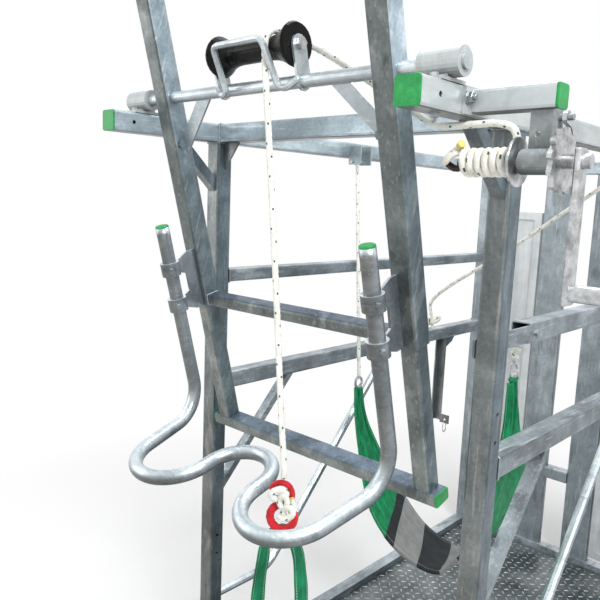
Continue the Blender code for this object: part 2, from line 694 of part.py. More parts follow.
def leg_rest():
    rest = swept("leg_rest_bar", rest_route(), PIPE_R, "zinc", gantry, sides_step=3)
    inner = PIPE_R - PIPE_WALL
    for side, word in ((-1, "left"), (1, "right")):
        x = side * REST_X
        top = -REST_TOP
        pocket = round_bar("rest_pocket_" + word, inner, 0.060, "zinc", gantry, (x, -REST_BACK, top),
                           (0, 0, 0))
        combine(rest, pocket, "DIFFERENCE")
        flange = PIPE_R - 0.0004
        plug = turned("rest_plug_" + word,
                      [(GAP, inner - SLIDE_FIT), (GAP, flange), (0.0035, flange), (0.0055, flange - 0.002),
                       (0.0065, 0.0), (-0.016, 0.0), (-0.016, inner - SLIDE_FIT)],
                      "green_plastic", gantry, (x, -REST_BACK, top), steps=24)
        plug.rotation_euler = (0, -math.pi / 2, 0)
        name = "collar_bracket_" + word
        back = TUBE / 2 + GAP
        arm = REST_BACK - COLLAR_R + 0.004
        neck = back + 0.034
        upper, lower = COLLAR_DROPS
        reach = COLLAR_HIGH / 2 - 0.002
        bracket = outline(name, [(-back, -upper + 0.030), (-neck + 0.012, -upper + 0.030),
                                 (-arm, -upper + reach), (-arm, -upper - reach),
                                 (-neck, -upper - reach - 0.010), (-neck, -lower + reach + 0.010),
                                 (-arm, -lower + reach), (-arm, -lower - reach),
                                 (-neck + 0.012, -lower - 0.030), (-back, -lower - 0.030)],
                          COLLAR_PLATE, "zinc", gantry, (x, 0, 0), (math.pi / 2, 0, math.pi / 2))
        for count, drop in enumerate(COLLAR_DROPS):
            ring = round_bar("%s_ring_%d" % (name, count), COLLAR_R, COLLAR_HIGH, "zinc", gantry,
                             (x, -REST_BACK, -drop), (0, 0, 0), sides=24)
            combine(bracket, ring, "UNION")
            screw = hex_head("%s_screw_%d" % (name, count), 0.007, 0.020, gantry,
                             (x + 0.020, -REST_BACK - 0.012, -drop), (0, math.pi / 2, math.radians(-30)))
            combine(bracket, screw, "UNION")
        bore = round_bar(name + "_bore", PIPE_R + SLIDE_FIT, 0.3, "zinc", gantry,
                         (x, -REST_BACK, -sum(COLLAR_DROPS) / 2), (0, 0, 0), sides=24)
        combine(bracket, bore, "DIFFERENCE")


def roller():
    # Black keel roller between two cheeks on the shaft, with a bent rod that keeps the rope on
    lift = ROLLER_LIFT
    bore = AXLE_R + SLIDE_FIT
    outer = [(0.0, ROLLER_CORE_R), (0.045, ROLLER_CORE_R), (0.065, 0.025), (0.082, 0.0295), (0.096, 0.036),
             (0.106, 0.0415), (0.112, ROLLER_FLANGE_R), (ROLLER_HALF, ROLLER_FLANGE_R - 0.003)]
    profile = [(-x, r) for x, r in reversed(outer[1:])] + outer + [(ROLLER_HALF, bore), (-ROLLER_HALF, bore)]
    turned("guide_roller", profile, "black_rubber", gantry, (0, 0, lift), steps=24)
    cheek_x = ROLLER_HALF + GAP + CHEEK_THICK / 2
    head = 0.009
    axle = round_bar("roller_axle", AXLE_R, 2 * (cheek_x + CHEEK_THICK / 2 + head), "zinc", gantry,
                     (0, 0, lift))
    for side, word in ((-1, "left"), (1, "right")):
        nut = hex_head("axle_nut_" + word, 0.0125, head - GAP, gantry,
                       (side * (cheek_x + CHEEK_THICK / 2 + head / 2 + GAP / 2), 0, lift), ALONG_X)
        combine(axle, nut, "UNION")
    corner = 0.014
    knee = Vector((0.079, -0.031, -0.004))
    shoulder = Vector((0.073, -0.054, 0.0915))
    half = [(cheek_x, -0.0165, 0.006), (0.098, -0.0300, -0.008)]
    route = [Vector(p) for p in half] + [knee, shoulder]
    mirrored = [Vector((-p.x, p.y, p.z)) for p in reversed(route)]
    keeper = filleted(route + mirrored, corner, steps=3)
    bracket = swept("roller_bracket", keeper, KEEPER_R, "zinc", gantry, sides_step=2)
    for side, word in ((-1, "left"), (1, "right")):
        arc = 6
        points = []
        for step in range(arc + 1):
            angle = math.pi * step / arc
            points.append((CHEEK_R * math.cos(angle), lift + CHEEK_R * math.sin(angle)))
        for step in range(arc + 1):
            angle = math.pi + math.pi * step / arc
            points.append((CHEEK_R * math.cos(angle), CHEEK_R * math.sin(angle)))
        cheek = outline("roller_cheek_" + word, points, CHEEK_THICK, "zinc", gantry,
                        (side * cheek_x, 0, 0), (math.pi / 2, 0, math.pi / 2))
        combine(bracket, cheek, "UNION")
    for name, radius, height in (("cheek_shaft_bore", SHAFT_R, 0.0), ("cheek_axle_bore", AXLE_R, lift)):
        drill = round_bar(name, radius + SLIDE_FIT, 0.4, "zinc", gantry, (0, 0, height), sides=28)
        combine(bracket, drill, "DIFFERENCE")


def winding_route():
    # The outer layer on the winch core: down on from the front side, then turns to the left
    radius = CORE_R + GAP + ROPE_R
    straight = 2 * ROPE_R
    route = [Vector((WIND_RIGHT_X + WIND_LEAD, WINCH_Y + radius, WINCH_Z + straight))]
    steps = round(WIND_TURNS * WIND_STEPS)
    for step in range(steps + 1):
        angle = -2 * math.pi * step / WIND_STEPS
        x = WIND_RIGHT_X - WIND_PITCH * step / WIND_STEPS
        x += WIND_LEAD * (max(0.0, 1 - 4 * step / WIND_STEPS) - max(0.0, 1 - 4 * (steps - step) / WIND_STEPS))
        route.append(Vector((x, WINCH_Y + radius * math.cos(angle), WINCH_Z + radius * math.sin(angle))))
    route.append(route[-1] + Vector((0, straight, 0)))
    return route


def least_turn_gap(route):
    # Least distance between stretches of the winding that lie more than half a turn apart
    apart = WIND_STEPS // 2
    least = min((route[a] - route[b]).length
                for a in range(len(route)) for b in range(a + apart, len(route)))
    return least - 2 * ROPE_R


def winch():
    arm_top = RAIL_Z + ARM_TUBE / 2
    start = HALF_WIDTH + TUBE / 2 + GAP
    arm = tube_along_x("winch_arm", ARM_Y, RAIL_Z, start, ARM_END, high=ARM_TUBE, deep=ARM_TUBE)
    end_cap("winch_arm_cap", ARM_TUBE, ARM_TUBE, TUBE_WALL, None, (ARM_END, ARM_Y, RAIL_Z),
            (0, math.pi / 2, 0))
    foot = block("winch_arm_foot", (0.006, 0.080, TUBE * 0.92), "zinc",
                 location=(start + 0.003, ARM_Y, RAIL_Z))
    combine(arm, foot, "UNION")
    passage = block("winch_arm_passage", (0.02, ARM_TUBE - 2 * TUBE_WALL, ARM_TUBE - 2 * TUBE_WALL), "zinc",
                    location=(start + 0.003, ARM_Y, RAIL_Z))
    combine(arm, passage, "DIFFERENCE")
    under = RAIL_Z - ARM_TUBE / 2
    low = WINCH_Z - HOUSING_R * 0.6
    hanger_y = WINCH_Y + HOUSING_R + HANGER_THICK / 2 - 0.001
    hanger = block("winch_housing", (HANGER_WIDE, HANGER_THICK, under - GAP - low), "zinc",
                   location=(HANGER_X, hanger_y, (under - GAP + low) / 2))
    left, right = HOUSING_X
    pipe = round_bar("winch_pipe", HOUSING_R, right - left, "zinc",
                     location=((left + right) / 2, WINCH_Y, WINCH_Z), sides=28)
    combine(hanger, pipe, "UNION")
    lug_high = PAWL_LIFT + 0.012
    lug = block("winch_lug", (0.006, 0.024, lug_high), "zinc",
                location=(right - 0.003, WINCH_Y, WINCH_Z + lug_high / 2))
    combine(hanger, lug, "UNION")
    pin = round_bar("winch_pawl_pin", PAWL_PIN_R, RATCHET_X + RATCHET_THICK - right + 0.006, "zinc",
                    location=((right - 0.002 + RATCHET_X + RATCHET_THICK + 0.004) / 2, WINCH_Y,
                              WINCH_Z + PAWL_LIFT), sides=16)
    combine(hanger, pin, "UNION")
    bore = round_bar("winch_bore", CORE_R + SLIDE_FIT, 0.2, "zinc",
                     location=((left + right) / 2, WINCH_Y, WINCH_Z), sides=32)
    combine(hanger, bore, "DIFFERENCE")
    peep = round_bar("winch_hanger_hole", RAIL_HOLE_R, 0.05, "zinc",
                     location=(HANGER_X - 0.006, hanger_y, WINCH_Z + 0.045), rotation=(math.pi / 2, 0, 0),
                     sides=12)
    combine(hanger, peep, "DIFFERENCE")


def drum():
    # Shaft with the bare rope core, one flange, the ratchet wheel and a horn that holds the rope
    left = WIND_RIGHT_X - WIND_TURNS * WIND_PITCH - 0.012
    right = CRANK_X + CRANK_THICK + 0.006
    flange = DRUM_FLANGE_X
    shaft = turned("winch_drum", [(left, 0.0), (left, CORE_R - 0.002), (left + 0.002, CORE_R), (flange, CORE_R),
                                  (flange, DRUM_FLANGE_R - 0.001), (flange + 0.001, DRUM_FLANGE_R),
                                  (flange + 0.004, DRUM_FLANGE_R), (flange + 0.005, DRUM_FLANGE_R - 0.001),
                                  (flange + 0.005, CORE_R), (right, CORE_R), (right, 0.0)],
                   "zinc", None, (0, WINCH_Y, WINCH_Z), steps=28)
    pitch = 2 * math.pi / RATCHET_TEETH
    points = []
    for tooth in range(RATCHET_TEETH):
        start = tooth * pitch + math.pi / 2
        points.append((RATCHET_ROOT * math.cos(start), RATCHET_ROOT * math.sin(start)))
        points.append((RATCHET_R * math.cos(start + pitch * 0.7), RATCHET_R * math.sin(start + pitch * 0.7)))
        points.append((RATCHET_R * math.cos(start + pitch - 0.04), RATCHET_R * math.sin(start + pitch - 0.04)))
    wheel = outline("winch_ratchet", points, RATCHET_THICK, "zinc", None,
                    (RATCHET_X, WINCH_Y, WINCH_Z), (math.pi / 2, 0, math.pi / 2))
    combine(shaft, wheel, "UNION")
    horn = [(left + 0.006, WINCH_Y, WINCH_Z - 0.004), (left - 0.006, WINCH_Y, WINCH_Z - 0.010),
            (left - 0.020, WINCH_Y, WINCH_Z - 0.004), (left - 0.030, WINCH_Y, WINCH_Z + 0.004)]
    hook = swept("winch_horn", smooth_route(horn, 0.006), 0.006, "zinc")
    combine(shaft, hook, "UNION")


def pawl_and_crank():
    lift = PAWL_LIFT
    boss = 0.010
    points = []
    for step in range(9):
        angle = math.radians(30 + 30 * step)
        points.append((boss * math.cos(angle), lift + boss * math.sin(angle)))
    # The nose stands in the tooth gap: (angle about the drum, height above the tooth's root or tip)
    for degrees, height in ((79.0, RATCHET_R + 0.002), (69.5, RATCHET_R - 0.002), (62.5, RATCHET_ROOT + 0.0022),
                            (61.5, RATCHET_R + 0.004)):
        angle = math.radians(degrees)
        points.append((height * math.cos(angle), height * math.sin(angle)))
    pawl = outline("winch_pawl", points, RATCHET_THICK - 0.001, "zinc", None,
                   (RATCHET_X + 0.0005, WINCH_Y, WINCH_Z), (math.pi / 2, 0, math.pi / 2))
    eye = round_bar("pawl_eye", PAWL_PIN_R + SLIDE_FIT, 0.05, "zinc",
                    location=(RATCHET_X, WINCH_Y, WINCH_Z + lift), sides=20)
    combine(pawl, eye, "DIFFERENCE")
    crank = block("winch_crank", (CRANK_THICK, 0.034, CRANK_LONG + 0.040), "zinc", None,
                  (CRANK_X, WINCH_Y, WINCH_Z - CRANK_LONG / 2), rounding=0.003)
    grip = round_bar("crank_grip", GRIP_R, GRIP_LONG, "zinc",
                     location=(CRANK_X + GRIP_LONG / 2, WINCH_Y, WINCH_Z - CRANK_LONG), sides=20)
    combine(crank, grip, "UNION")
    bore = round_bar("crank_bore", CORE_R + GAP, 0.1, "zinc", location=(CRANK_X, WINCH_Y, WINCH_Z), sides=32)
    combine(crank, bore, "DIFFERENCE")


def hoist_ropes():
    # Winding, then the run from the winch up over the roller, then the fall to the leg strap
    turns = winding_route()
    swept("rope_winding", turns, ROPE_R, "white_rope", sides_step=1)
    print("least gap between turns of the winding, mm: %.2f" % (least_turn_gap(turns) * 1000))
    sin_lean = math.sin(LEAN)
    cos_lean = math.cos(LEAN)
    axis_y = SHAFT_Y - ROLLER_LIFT * sin_lean
    axis_z = SHAFT_Z + ROLLER_LIFT * cos_lean
    wrap = ROLLER_CORE_R + ROLLER_RISE + GAP + ROPE_R
    top_x = 0.059
    fall = [(KNOT[0], KNOT[1], KNOT[2]), (KNOT[0], KNOT[1], KNOT[2] + 2 * ROPE_R), (0.152, -0.316, 1.110),
            (0.119, -0.312, 1.380), (0.079, -0.307, 1.680), (0.060, axis_y - wrap, 1.815)]
    route = [Vector(fall[0])] + smooth_route(fall[1:], 0.034)
    for degrees in (180, 161, 142, 123, 104, 85, 66):
        angle = math.radians(degrees)
        route.append(Vector((top_x, axis_y + wrap * math.cos(angle), axis_z + wrap * math.sin(angle))))
    heading = Vector((0, math.sin(angle), -math.cos(angle)))
    route.append(route[-1] + heading * ROPE_R)
    swept("hoist_rope", route, ROPE_R, "white_rope", sides_step=2)
    radius = CORE_R + GAP + ROPE_R
    lead_x = WIND_RIGHT_X + WIND_LEAD
    start = route[-1] + heading * GAP
    run = [start, start + heading * ROPE_R, (0.073, -0.221, 1.867), (0.093, -0.212, 1.860),
           (0.125, -0.206, 1.844), (0.220, -0.199, 1.790), (0.330, -0.193, 1.724), (0.400, -0.198, 1.688),
           (0.470, -0.2010, 1.6855), (0.522, WINCH_Y + radius, 1.6845), (0.548, WINCH_Y + radius, 1.674),
           (lead_x, WINCH_Y + radius, WINCH_Z + 4 * ROPE_R),
           (lead_x, WINCH_Y + radius, WINCH_Z + 2 * ROPE_R + GAP)]
    swept("winch_rope", rope_route(run, 0.022), ROPE_R, "white_rope", sides_step=2)
    knot = Vector(KNOT) - Vector((0, 0, GAP + KNOT_HIGH / 2))
    bm = bmesh.new()
    bmesh.ops.create_uvsphere(bm, u_segments=14, v_segments=10, radius=1.0)
    bmesh.ops.scale(bm, vec=(*KNOT_HALF, KNOT_HIGH / 2 + 0.002), verts=bm.verts)
    flat = bmesh.ops.bisect_plane(bm, geom=bm.verts[:] + bm.edges[:] + bm.faces[:],
                                  plane_co=(0, 0, KNOT_HIGH / 2), plane_no=(0, 0, 1), clear_outer=True)
    bmesh.ops.holes_fill(bm, edges=[e for e in flat["geom_cut"] if isinstance(e, bmesh.types.BMEdge)])
    add("rope_knot", to_mesh(bm, "rope_knot"), "red_rope", None, knot)


def leg_strap():
    # Green webbing loop that goes round the leg, hanging from the knot
    top = KNOT[2] - KNOT_HIGH - 0.002 - STRAP_THICK / 2 - 3 * GAP
    steps = 28
    bm = bmesh.new()
    ring = []
    for step in range(steps):
        angle = 2 * math.pi * step / steps
        depth = (1 - math.cos(angle)) / 2
        bulge = math.copysign(abs(math.sin(angle)) ** 0.6, math.sin(angle))
        ring.append(bm.verts.new(((0.048 + 0.010 * depth) * bulge, -0.0175, -0.440 * depth)))
    edges = [bm.edges.new((ring[i], ring[(i + 1) % steps])) for i in range(steps)]
    grown = bmesh.ops.extrude_edge_only(bm, edges=edges)
    risen = [v for v in grown["geom"] if isinstance(v, bmesh.types.BMVert)]
    bmesh.ops.translate(bm, vec=(0, 0.035, 0), verts=risen)
    strap = add("leg_strap", to_mesh(bm, "leg_strap"), "green_webbing", None, (KNOT[0], KNOT[1], top))
    strap.rotation_euler = (0, 0, math.radians(20))
    shell = strap.modifiers.new("thickness", "SOLIDIFY")
    shell.thickness = STRAP_THICK
    shell.offset = 0.0


def belly_belt():
    # A wide belt slung under the belly, gathered into folds at both ends
    centre = smooth_route(BELT_ROUTE, 0.01)
    count = BELT_LENGTHWISE
    bm = bmesh.new()
    bmesh.ops.create_grid(bm, x_segments=count, y_segments=BELT_ACROSS, size=0.5)
    for vert in bm.verts:
        along = min(max(vert.co.x + 0.5, 0.0), 1.0)
        across = vert.co.y * 2
        place = along * (len(centre) - 1)
        index = min(int(place), len(centre) - 2)
        spot = centre[index].lerp(centre[index + 1], place - index)
        ahead = (centre[index + 1] - centre[index]).normalized()
        side = Vector((0, 1, 0)) - ahead * ahead.y
        side.normalize()
        out = ahead.cross(side)
        spread = min(1.0, min(along, 1.0 - along) / 0.30)
        spread = spread * spread * (3 - 2 * spread)
        half = (BELT_ENDS_WIDE + (BELT_WIDE - BELT_ENDS_WIDE) * spread) / 2
        fold = 0.010 * math.sin(math.pi * min(along, 1 - along) / 0.30) if spread < 1.0 else 0.0
        vert.co = spot + side * half * across + out * fold * math.cos(math.pi * 1.5 * across)
    belt = add("belly_belt", to_mesh(bm, "belly_belt"), "grey_belt")
    shell = belt.modifiers.new("thickness", "SOLIDIFY")
    shell.thickness = BELT_THICK
    shell.offset = 0.0


def ring(name, centre, rotation, radius=RING_R, wire=RING_WIRE, stretch=1.0):
    bm = bmesh.new()
    circle = bmesh.ops.create_circle(bm, segments=6, radius=wire)
    bmesh.ops.rotate(bm, verts=bm.verts, matrix=Matrix.Rotation(math.pi / 2, 3, "X"))
    bmesh.ops.translate(bm, verts=bm.verts, vec=(radius, 0, 0))
    bmesh.ops.spin(bm, geom=circle["verts"] + bm.edges[:], cent=(0, 0, 0), axis=(0, 0, 1), angle=2 * math.pi,
                   steps=16, use_merge=True)
    bmesh.ops.remove_doubles(bm, verts=bm.verts, dist=0.00001)
    for vert in bm.verts:
        vert.co.y += math.copysign((stretch - 1.0) * radius, vert.co.y) if abs(vert.co.y) > wire else 0.0
    return add(name, to_mesh(bm, name), "bright_steel", None, centre, rotation)


def belt_ropes():
    # Rings at the belt's ends and the ropes that carry them; one rope across the crate
    hook = Vector(HANGER_PIN) - Vector((0, 0, HANGER_PIN_R + GAP))
    rail = Vector((inner_x - TUBE + 0.013, TWIN_RAIL_START + 0.030, TWIN_RAIL_Z - TWIN_RAIL_HIGH / 2 - GAP))
    straight = Vector((0, 0, ROPE_R))
    for word, end, top in (("left", Vector(BELT_ROUTE[0]), hook), ("right", Vector(BELT_ROUTE[-1]), rail)):
        outer = RING_R + RING_WIRE
        centre = end + Vector((0, 0, outer + 0.0022))
        ring("belt_ring_" + word, centre, (math.pi / 2, 0, math.radians(90)))
        low = centre + Vector((0, 0, outer + GAP))
        swept("belt_rope_" + word, rope_route([low, low + straight, top - straight, top], 0.038), ROPE_R,
              "white_rope", sides_step=2)
    across = [(-0.430, 1.180, LOW_RAIL_TOP + GAP), (-0.430, 1.180, LOW_RAIL_TOP + 2 * ROPE_R),
              (-0.424, 1.158, 1.086), (-0.412, 1.130, 1.146), (0.000, 0.976, 1.412), (0.405, 0.828, 1.672),
              (0.430, 0.820, post_top - 2 * ROPE_R), (0.430, 0.820, post_top)]
    swept("cross_rope", rope_route(across, 0.056), ROPE_R, "white_rope", sides_step=2)


def neck_frame():
    # Welded H of the head gate: two upright box panels and the square bar between them
    low = TUBE + GAP
    top = RAIL_Z - TUBE / 2 - GAP
    wide = NECK_OUTER_X - NECK_INNER_X
    frame = tube_along_x("neck_frame", FRONT_Y, NECK_BAR_TOP - TUBE / 2, -NECK_INNER_X - 0.002,
                         NECK_INNER_X + 0.002, hollow=False)
    for side, word in ((-1, "left"), (1, "right")):
        panel = tube("neck_panel_" + word, wide, NECK_THICK, top - low,
                     location=(side * (NECK_INNER_X + wide / 2), FRONT_Y, (low + top) / 2))
        combine(frame, panel, "UNION")


def holder():
    # Angle bar under the left low rail, with its gusset, its ear and the wire loop in the ear
    top = low_rail_bottom - GAP
    x = -HALF_WIDTH
    leg = HOLDER_LEG
    bar = block("holder_bar", (HOLDER_SHEET, leg, top - HOLDER_LOW), "zinc",
                location=(x - leg / 2 + HOLDER_SHEET / 2, HOLDER_Y, (top + HOLDER_LOW) / 2))
    flange = block("holder_flange", (leg, HOLDER_SHEET, top - HOLDER_LOW), "zinc",
                   location=(x, HOLDER_Y + leg / 2 - HOLDER_SHEET / 2, (top + HOLDER_LOW) / 2))
    combine(bar, flange, "UNION")
    near = HOLDER_Y + leg / 2 - HOLDER_SHEET / 2
    gusset = outline("holder_gusset", [(near, top), (near, top - 0.060), (near + 0.075, top - 0.026),
                                       (near + 0.095, top)],
                     HOLDER_SHEET, "zinc", location=(x, 0, 0), rotation=(math.pi / 2, 0, math.pi / 2))
    combine(bar, gusset, "UNION")
    out = x + leg / 2 - 0.002
    ear = block("holder_ear", (HOLDER_HOLE_OUT * 2, HOLDER_SHEET, 0.038), "zinc",
                location=(out + HOLDER_HOLE_OUT - 0.002, near, HOLDER_LOW + 0.009))
    combine(bar, ear, "UNION")
    hole_x = out + HOLDER_HOLE_OUT
    hole_z = HOLDER_LOW + 0.004
    eye = round_bar("holder_eye", HOLDER_HOLE_R, 0.1, "zinc", location=(hole_x, near, hole_z),
                    rotation=(math.pi / 2, 0, 0), sides=16)
    combine(bar, eye, "DIFFERENCE")
    seat = hole_z - HOLDER_HOLE_R + LOOP_WIRE + 3 * GAP
    ring("holder_loop", (hole_x, near, seat - LOOP_R * LOOP_STRETCH), (math.pi / 2, 0, math.radians(90)),
         LOOP_R, LOOP_WIRE, LOOP_STRETCH)


def head_gate():
    # Two leaves: sheet in a tube rim, hung on the posts' pins, closing to a neck slot
    for side, word in ((-1, "left"), (1, "right")):
        name = "gate_leaf_" + word
        outer = HINGE_X - 0.008
        wide = outer - GATE_INNER_X
        high = GATE_TOP - GATE_LOW
        bm = bmesh.new()
        bmesh.ops.create_cube(bm, size=1.0)
        bmesh.ops.scale(bm, vec=(wide, GATE_THICK, high), verts=bm.verts)
        for sign in (-1, 1):
            face = [f for f in bm.faces if f.normal.y * sign > 0.9]
            bmesh.ops.inset_region(bm, faces=face, thickness=GATE_RIM, use_even_offset=True)
            sink = (GATE_THICK - GATE_SHEET) / 2
            pressed = bmesh.ops.extrude_face_region(bm, geom=face)
            moved = [v for v in pressed["geom"] if isinstance(v, bmesh.types.BMVert)]
            bmesh.ops.translate(bm, vec=(0, -sign * sink, 0), verts=moved)
            bmesh.ops.delete(bm, geom=face, context="FACES_ONLY")
        centre = side * ((outer + GATE_INNER_X) / 2 - HINGE_X)
        bmesh.ops.translate(bm, vec=(centre, 0, (GATE_TOP + GATE_LOW) / 2), verts=bm.verts)
        leaf = add(name, to_mesh(bm, name), "zinc", None, (side * HINGE_X, FRONT_Y, 0))
        for count, height in enumerate(HINGE_HEIGHTS):
            barrel = round_bar("%s_barrel_%d" % (name, count), HINGE_BARREL_R, HINGE_BARREL - GAP, "zinc",
                               location=(side * HINGE_X, FRONT_Y, height + GAP + (HINGE_BARREL - GAP) / 2),
                               rotation=(0, 0, 0), sides=20)
            combine(leaf, barrel, "UNION")
            bore = round_bar("%s_bore_%d" % (name, count), HINGE_PIN_R + SLIDE_FIT, HINGE_BARREL * 1.4, "zinc",
                             location=(side * HINGE_X, FRONT_Y, height + HINGE_BARREL / 2),
                             rotation=(0, 0, 0), sides=20)
            combine(leaf, bore, "DIFFERENCE")
            notch = block("%s_notch_%d" % (name, count), (0.040, 0.06, 0.012), "zinc",
                          location=(side * HINGE_X, FRONT_Y, height - 0.006 + GAP))
            combine(leaf, notch, "DIFFERENCE")


rear_posts()
front_posts()
rails()
twin_rail()
base()
side_bracing()
shaft_and_sleeves()
uprights()
lower_frame()
leg_rest()
roller()
winch()
drum()
pawl_and_crank()
hoist_ropes()
leg_strap()
belly_belt()
belt_ropes()
neck_frame()
holder()
head_gate()
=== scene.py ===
import math

import bmesh
import bpy
from mathutils import Matrix, Vector, noise


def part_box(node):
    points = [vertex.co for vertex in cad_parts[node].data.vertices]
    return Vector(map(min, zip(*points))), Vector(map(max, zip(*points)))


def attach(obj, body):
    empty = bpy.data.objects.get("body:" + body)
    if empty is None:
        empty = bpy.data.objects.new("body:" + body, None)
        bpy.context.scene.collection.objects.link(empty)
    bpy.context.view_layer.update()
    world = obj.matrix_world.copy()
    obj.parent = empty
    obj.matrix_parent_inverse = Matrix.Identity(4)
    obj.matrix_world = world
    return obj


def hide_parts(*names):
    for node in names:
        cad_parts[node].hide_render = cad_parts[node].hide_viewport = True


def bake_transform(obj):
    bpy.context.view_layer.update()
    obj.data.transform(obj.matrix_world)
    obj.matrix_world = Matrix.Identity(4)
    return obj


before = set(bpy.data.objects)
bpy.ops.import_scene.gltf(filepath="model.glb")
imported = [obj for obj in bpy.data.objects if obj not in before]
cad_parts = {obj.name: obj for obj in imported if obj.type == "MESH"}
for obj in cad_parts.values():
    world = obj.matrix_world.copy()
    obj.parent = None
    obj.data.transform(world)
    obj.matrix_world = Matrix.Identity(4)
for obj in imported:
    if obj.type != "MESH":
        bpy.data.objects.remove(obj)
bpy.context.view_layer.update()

# The viewpoint: a person's eye height behind the crate's right rear corner, looking forward
# and across it. The lens frames the rear gantry and the winch, and runs off the crate's front.
eye = Vector((1.0638, -1.2493, 1.5450))
eye_right = Vector((0.72595, 0.68665, 0.03903))
eye_up = Vector((-0.12943, 0.08067, 0.98830))
eye_back = Vector((0.67547, -0.72251, 0.14744))
camera_data = bpy.data.cameras.new("camera")
camera_data.lens = 39.905
camera_data.sensor_width = 36.0
camera_data.clip_end = 60.0
camera = bpy.data.objects.new("camera", camera_data)
camera.matrix_world = (Matrix.Translation(eye)
                       @ Matrix((eye_right, eye_up, eye_back)).transposed().to_4x4())
bpy.context.scene.collection.objects.link(camera)
bpy.context.scene.camera = camera

# Ropes: 13 mm plaited cord, white yarn with a dark green tracer, on every pulling and holding line.
# Each is a tube along its own route, its plait raised in the mesh, its tracer coloured in the yarn.
ROPE_R = 0.0065
PLAIT_TURN = 0.026
PLAIT_STRANDS = 6
ROPE_SIDES = 24
ROPE_STEP = 0.0020
GAP = 0.0003


def blank(name, roughness=0.5, metallic=0.0):
    finish = bpy.data.materials.new(name)
    finish.use_nodes = True
    shader = finish.node_tree.nodes["Principled BSDF"]
    shader.inputs["Roughness"].default_value = roughness
    shader.inputs["Metallic"].default_value = metallic
    return finish, shader


def add_node(finish, kind, place=None, **values):
    node = finish.node_tree.nodes.new(kind)
    for key, value in values.items():
        if hasattr(node, key):
            setattr(node, key, value)
        else:
            node.inputs[key.replace("_", " ")].default_value = value
    if place is not None:
        wire(finish, place, node.inputs["Vector"])
    return node


def wire(finish, source, socket):
    finish.node_tree.links.new(source, socket)


def noised(finish, place, scale, detail, rough=0.5):
    return add_node(finish, "ShaderNodeTexNoise", place, Scale=scale, Detail=detail,
                    Roughness=rough).outputs["Fac"]


def ramp(finish, source, stops):
    node = finish.node_tree.nodes.new("ShaderNodeValToRGB")
    band = node.color_ramp
    while len(band.elements) < len(stops):
        band.elements.new(0.5)
    for element, (place, colour) in zip(band.elements, stops):
        element.position = place
        element.color = (*colour, 1.0)
    wire(finish, source, node.inputs["Fac"])
    return node.outputs["Color"]


def mixed(finish, share, first, second, kind="MIX"):
    node = finish.node_tree.nodes.new("ShaderNodeMix")
    node.data_type = "RGBA"
    node.blend_type = kind
    for key, value in (("Factor", share), ("A", first), ("B", second)):
        socket = node.inputs[key]
        if isinstance(value, (int, float)):
            socket.default_value = value
        elif isinstance(value, tuple):
            socket.default_value = (*value, 1.0)
        else:
            wire(finish, value, socket)
    return node.outputs["Result"]


def ranged(finish, source, low, high, bottom=0.0, top=1.0):
    node = finish.node_tree.nodes.new("ShaderNodeMapRange")
    wire(finish, source, node.inputs["Value"])
    node.inputs["From Min"].default_value = bottom
    node.inputs["From Max"].default_value = top
    node.inputs["To Min"].default_value = low
    node.inputs["To Max"].default_value = high
    return node.outputs["Result"]


def bumped(finish, shader, height, strength, depth):
    node = finish.node_tree.nodes.new("ShaderNodeBump")
    node.inputs["Strength"].default_value = strength
    node.inputs["Distance"].default_value = depth
    wire(finish, height, node.inputs["Height"])
    wire(finish, node.outputs["Normal"], shader.inputs["Normal"])


def calc(finish, operation, *values):
    node = finish.node_tree.nodes.new("ShaderNodeMath")
    node.operation = operation
    for socket, value in zip(node.inputs, values):
        if isinstance(value, (int, float)):
            socket.default_value = value
        else:
            wire(finish, value, socket)
    return node.outputs["Value"]


def yarn(name, light, shade, tracer=None, pitch=0.013):
    # Colour in the straightened rope's own space: soiling, then the tracer yarn, which comes up
    # once a pitch, each time further round the rope
    finish, shader = blank(name, roughness=0.86)
    strand = add_node(finish, "ShaderNodeAttribute", attribute_name="strand").outputs["Vector"]
    soil = noised(finish, strand, 55.0, 5.0, 0.65)
    colour = ramp(finish, soil, ((0.34, shade), (0.58, light)))
    if tracer:
        parts = add_node(finish, "ShaderNodeSeparateXYZ", strand)
        turn = calc(finish, "ARCTAN2", parts.outputs["Y"], parts.outputs["X"])
        run = calc(finish, "DIVIDE", parts.outputs["Z"], pitch)
        place = calc(finish, "MULTIPLY", calc(finish, "FLOOR", run), 2.4)
        beside = calc(finish, "COSINE", calc(finish, "SUBTRACT", turn, place))
        before = calc(finish, "ABSOLUTE", calc(finish, "SUBTRACT", calc(finish, "FRACT", run), 0.5))
        seen = calc(finish, "MULTIPLY", ranged(finish, beside, 0.0, 1.0, 0.945, 0.970),
                    ranged(finish, before, 1.0, 0.0, 0.15, 0.21))
        colour = mixed(finish, seen, colour, tracer)
    wire(finish, colour, shader.inputs["Base Color"])
    fuzz = noised(finish, strand, 900.0, 3.0)
    bumped(finish, shader, fuzz, 0.30, 0.0005)
    shader.inputs["Sheen Weight"].default_value = 0.15
    return finish


def length_of(route):
    return sum((b - a).length for a, b in zip(route, route[1:]))


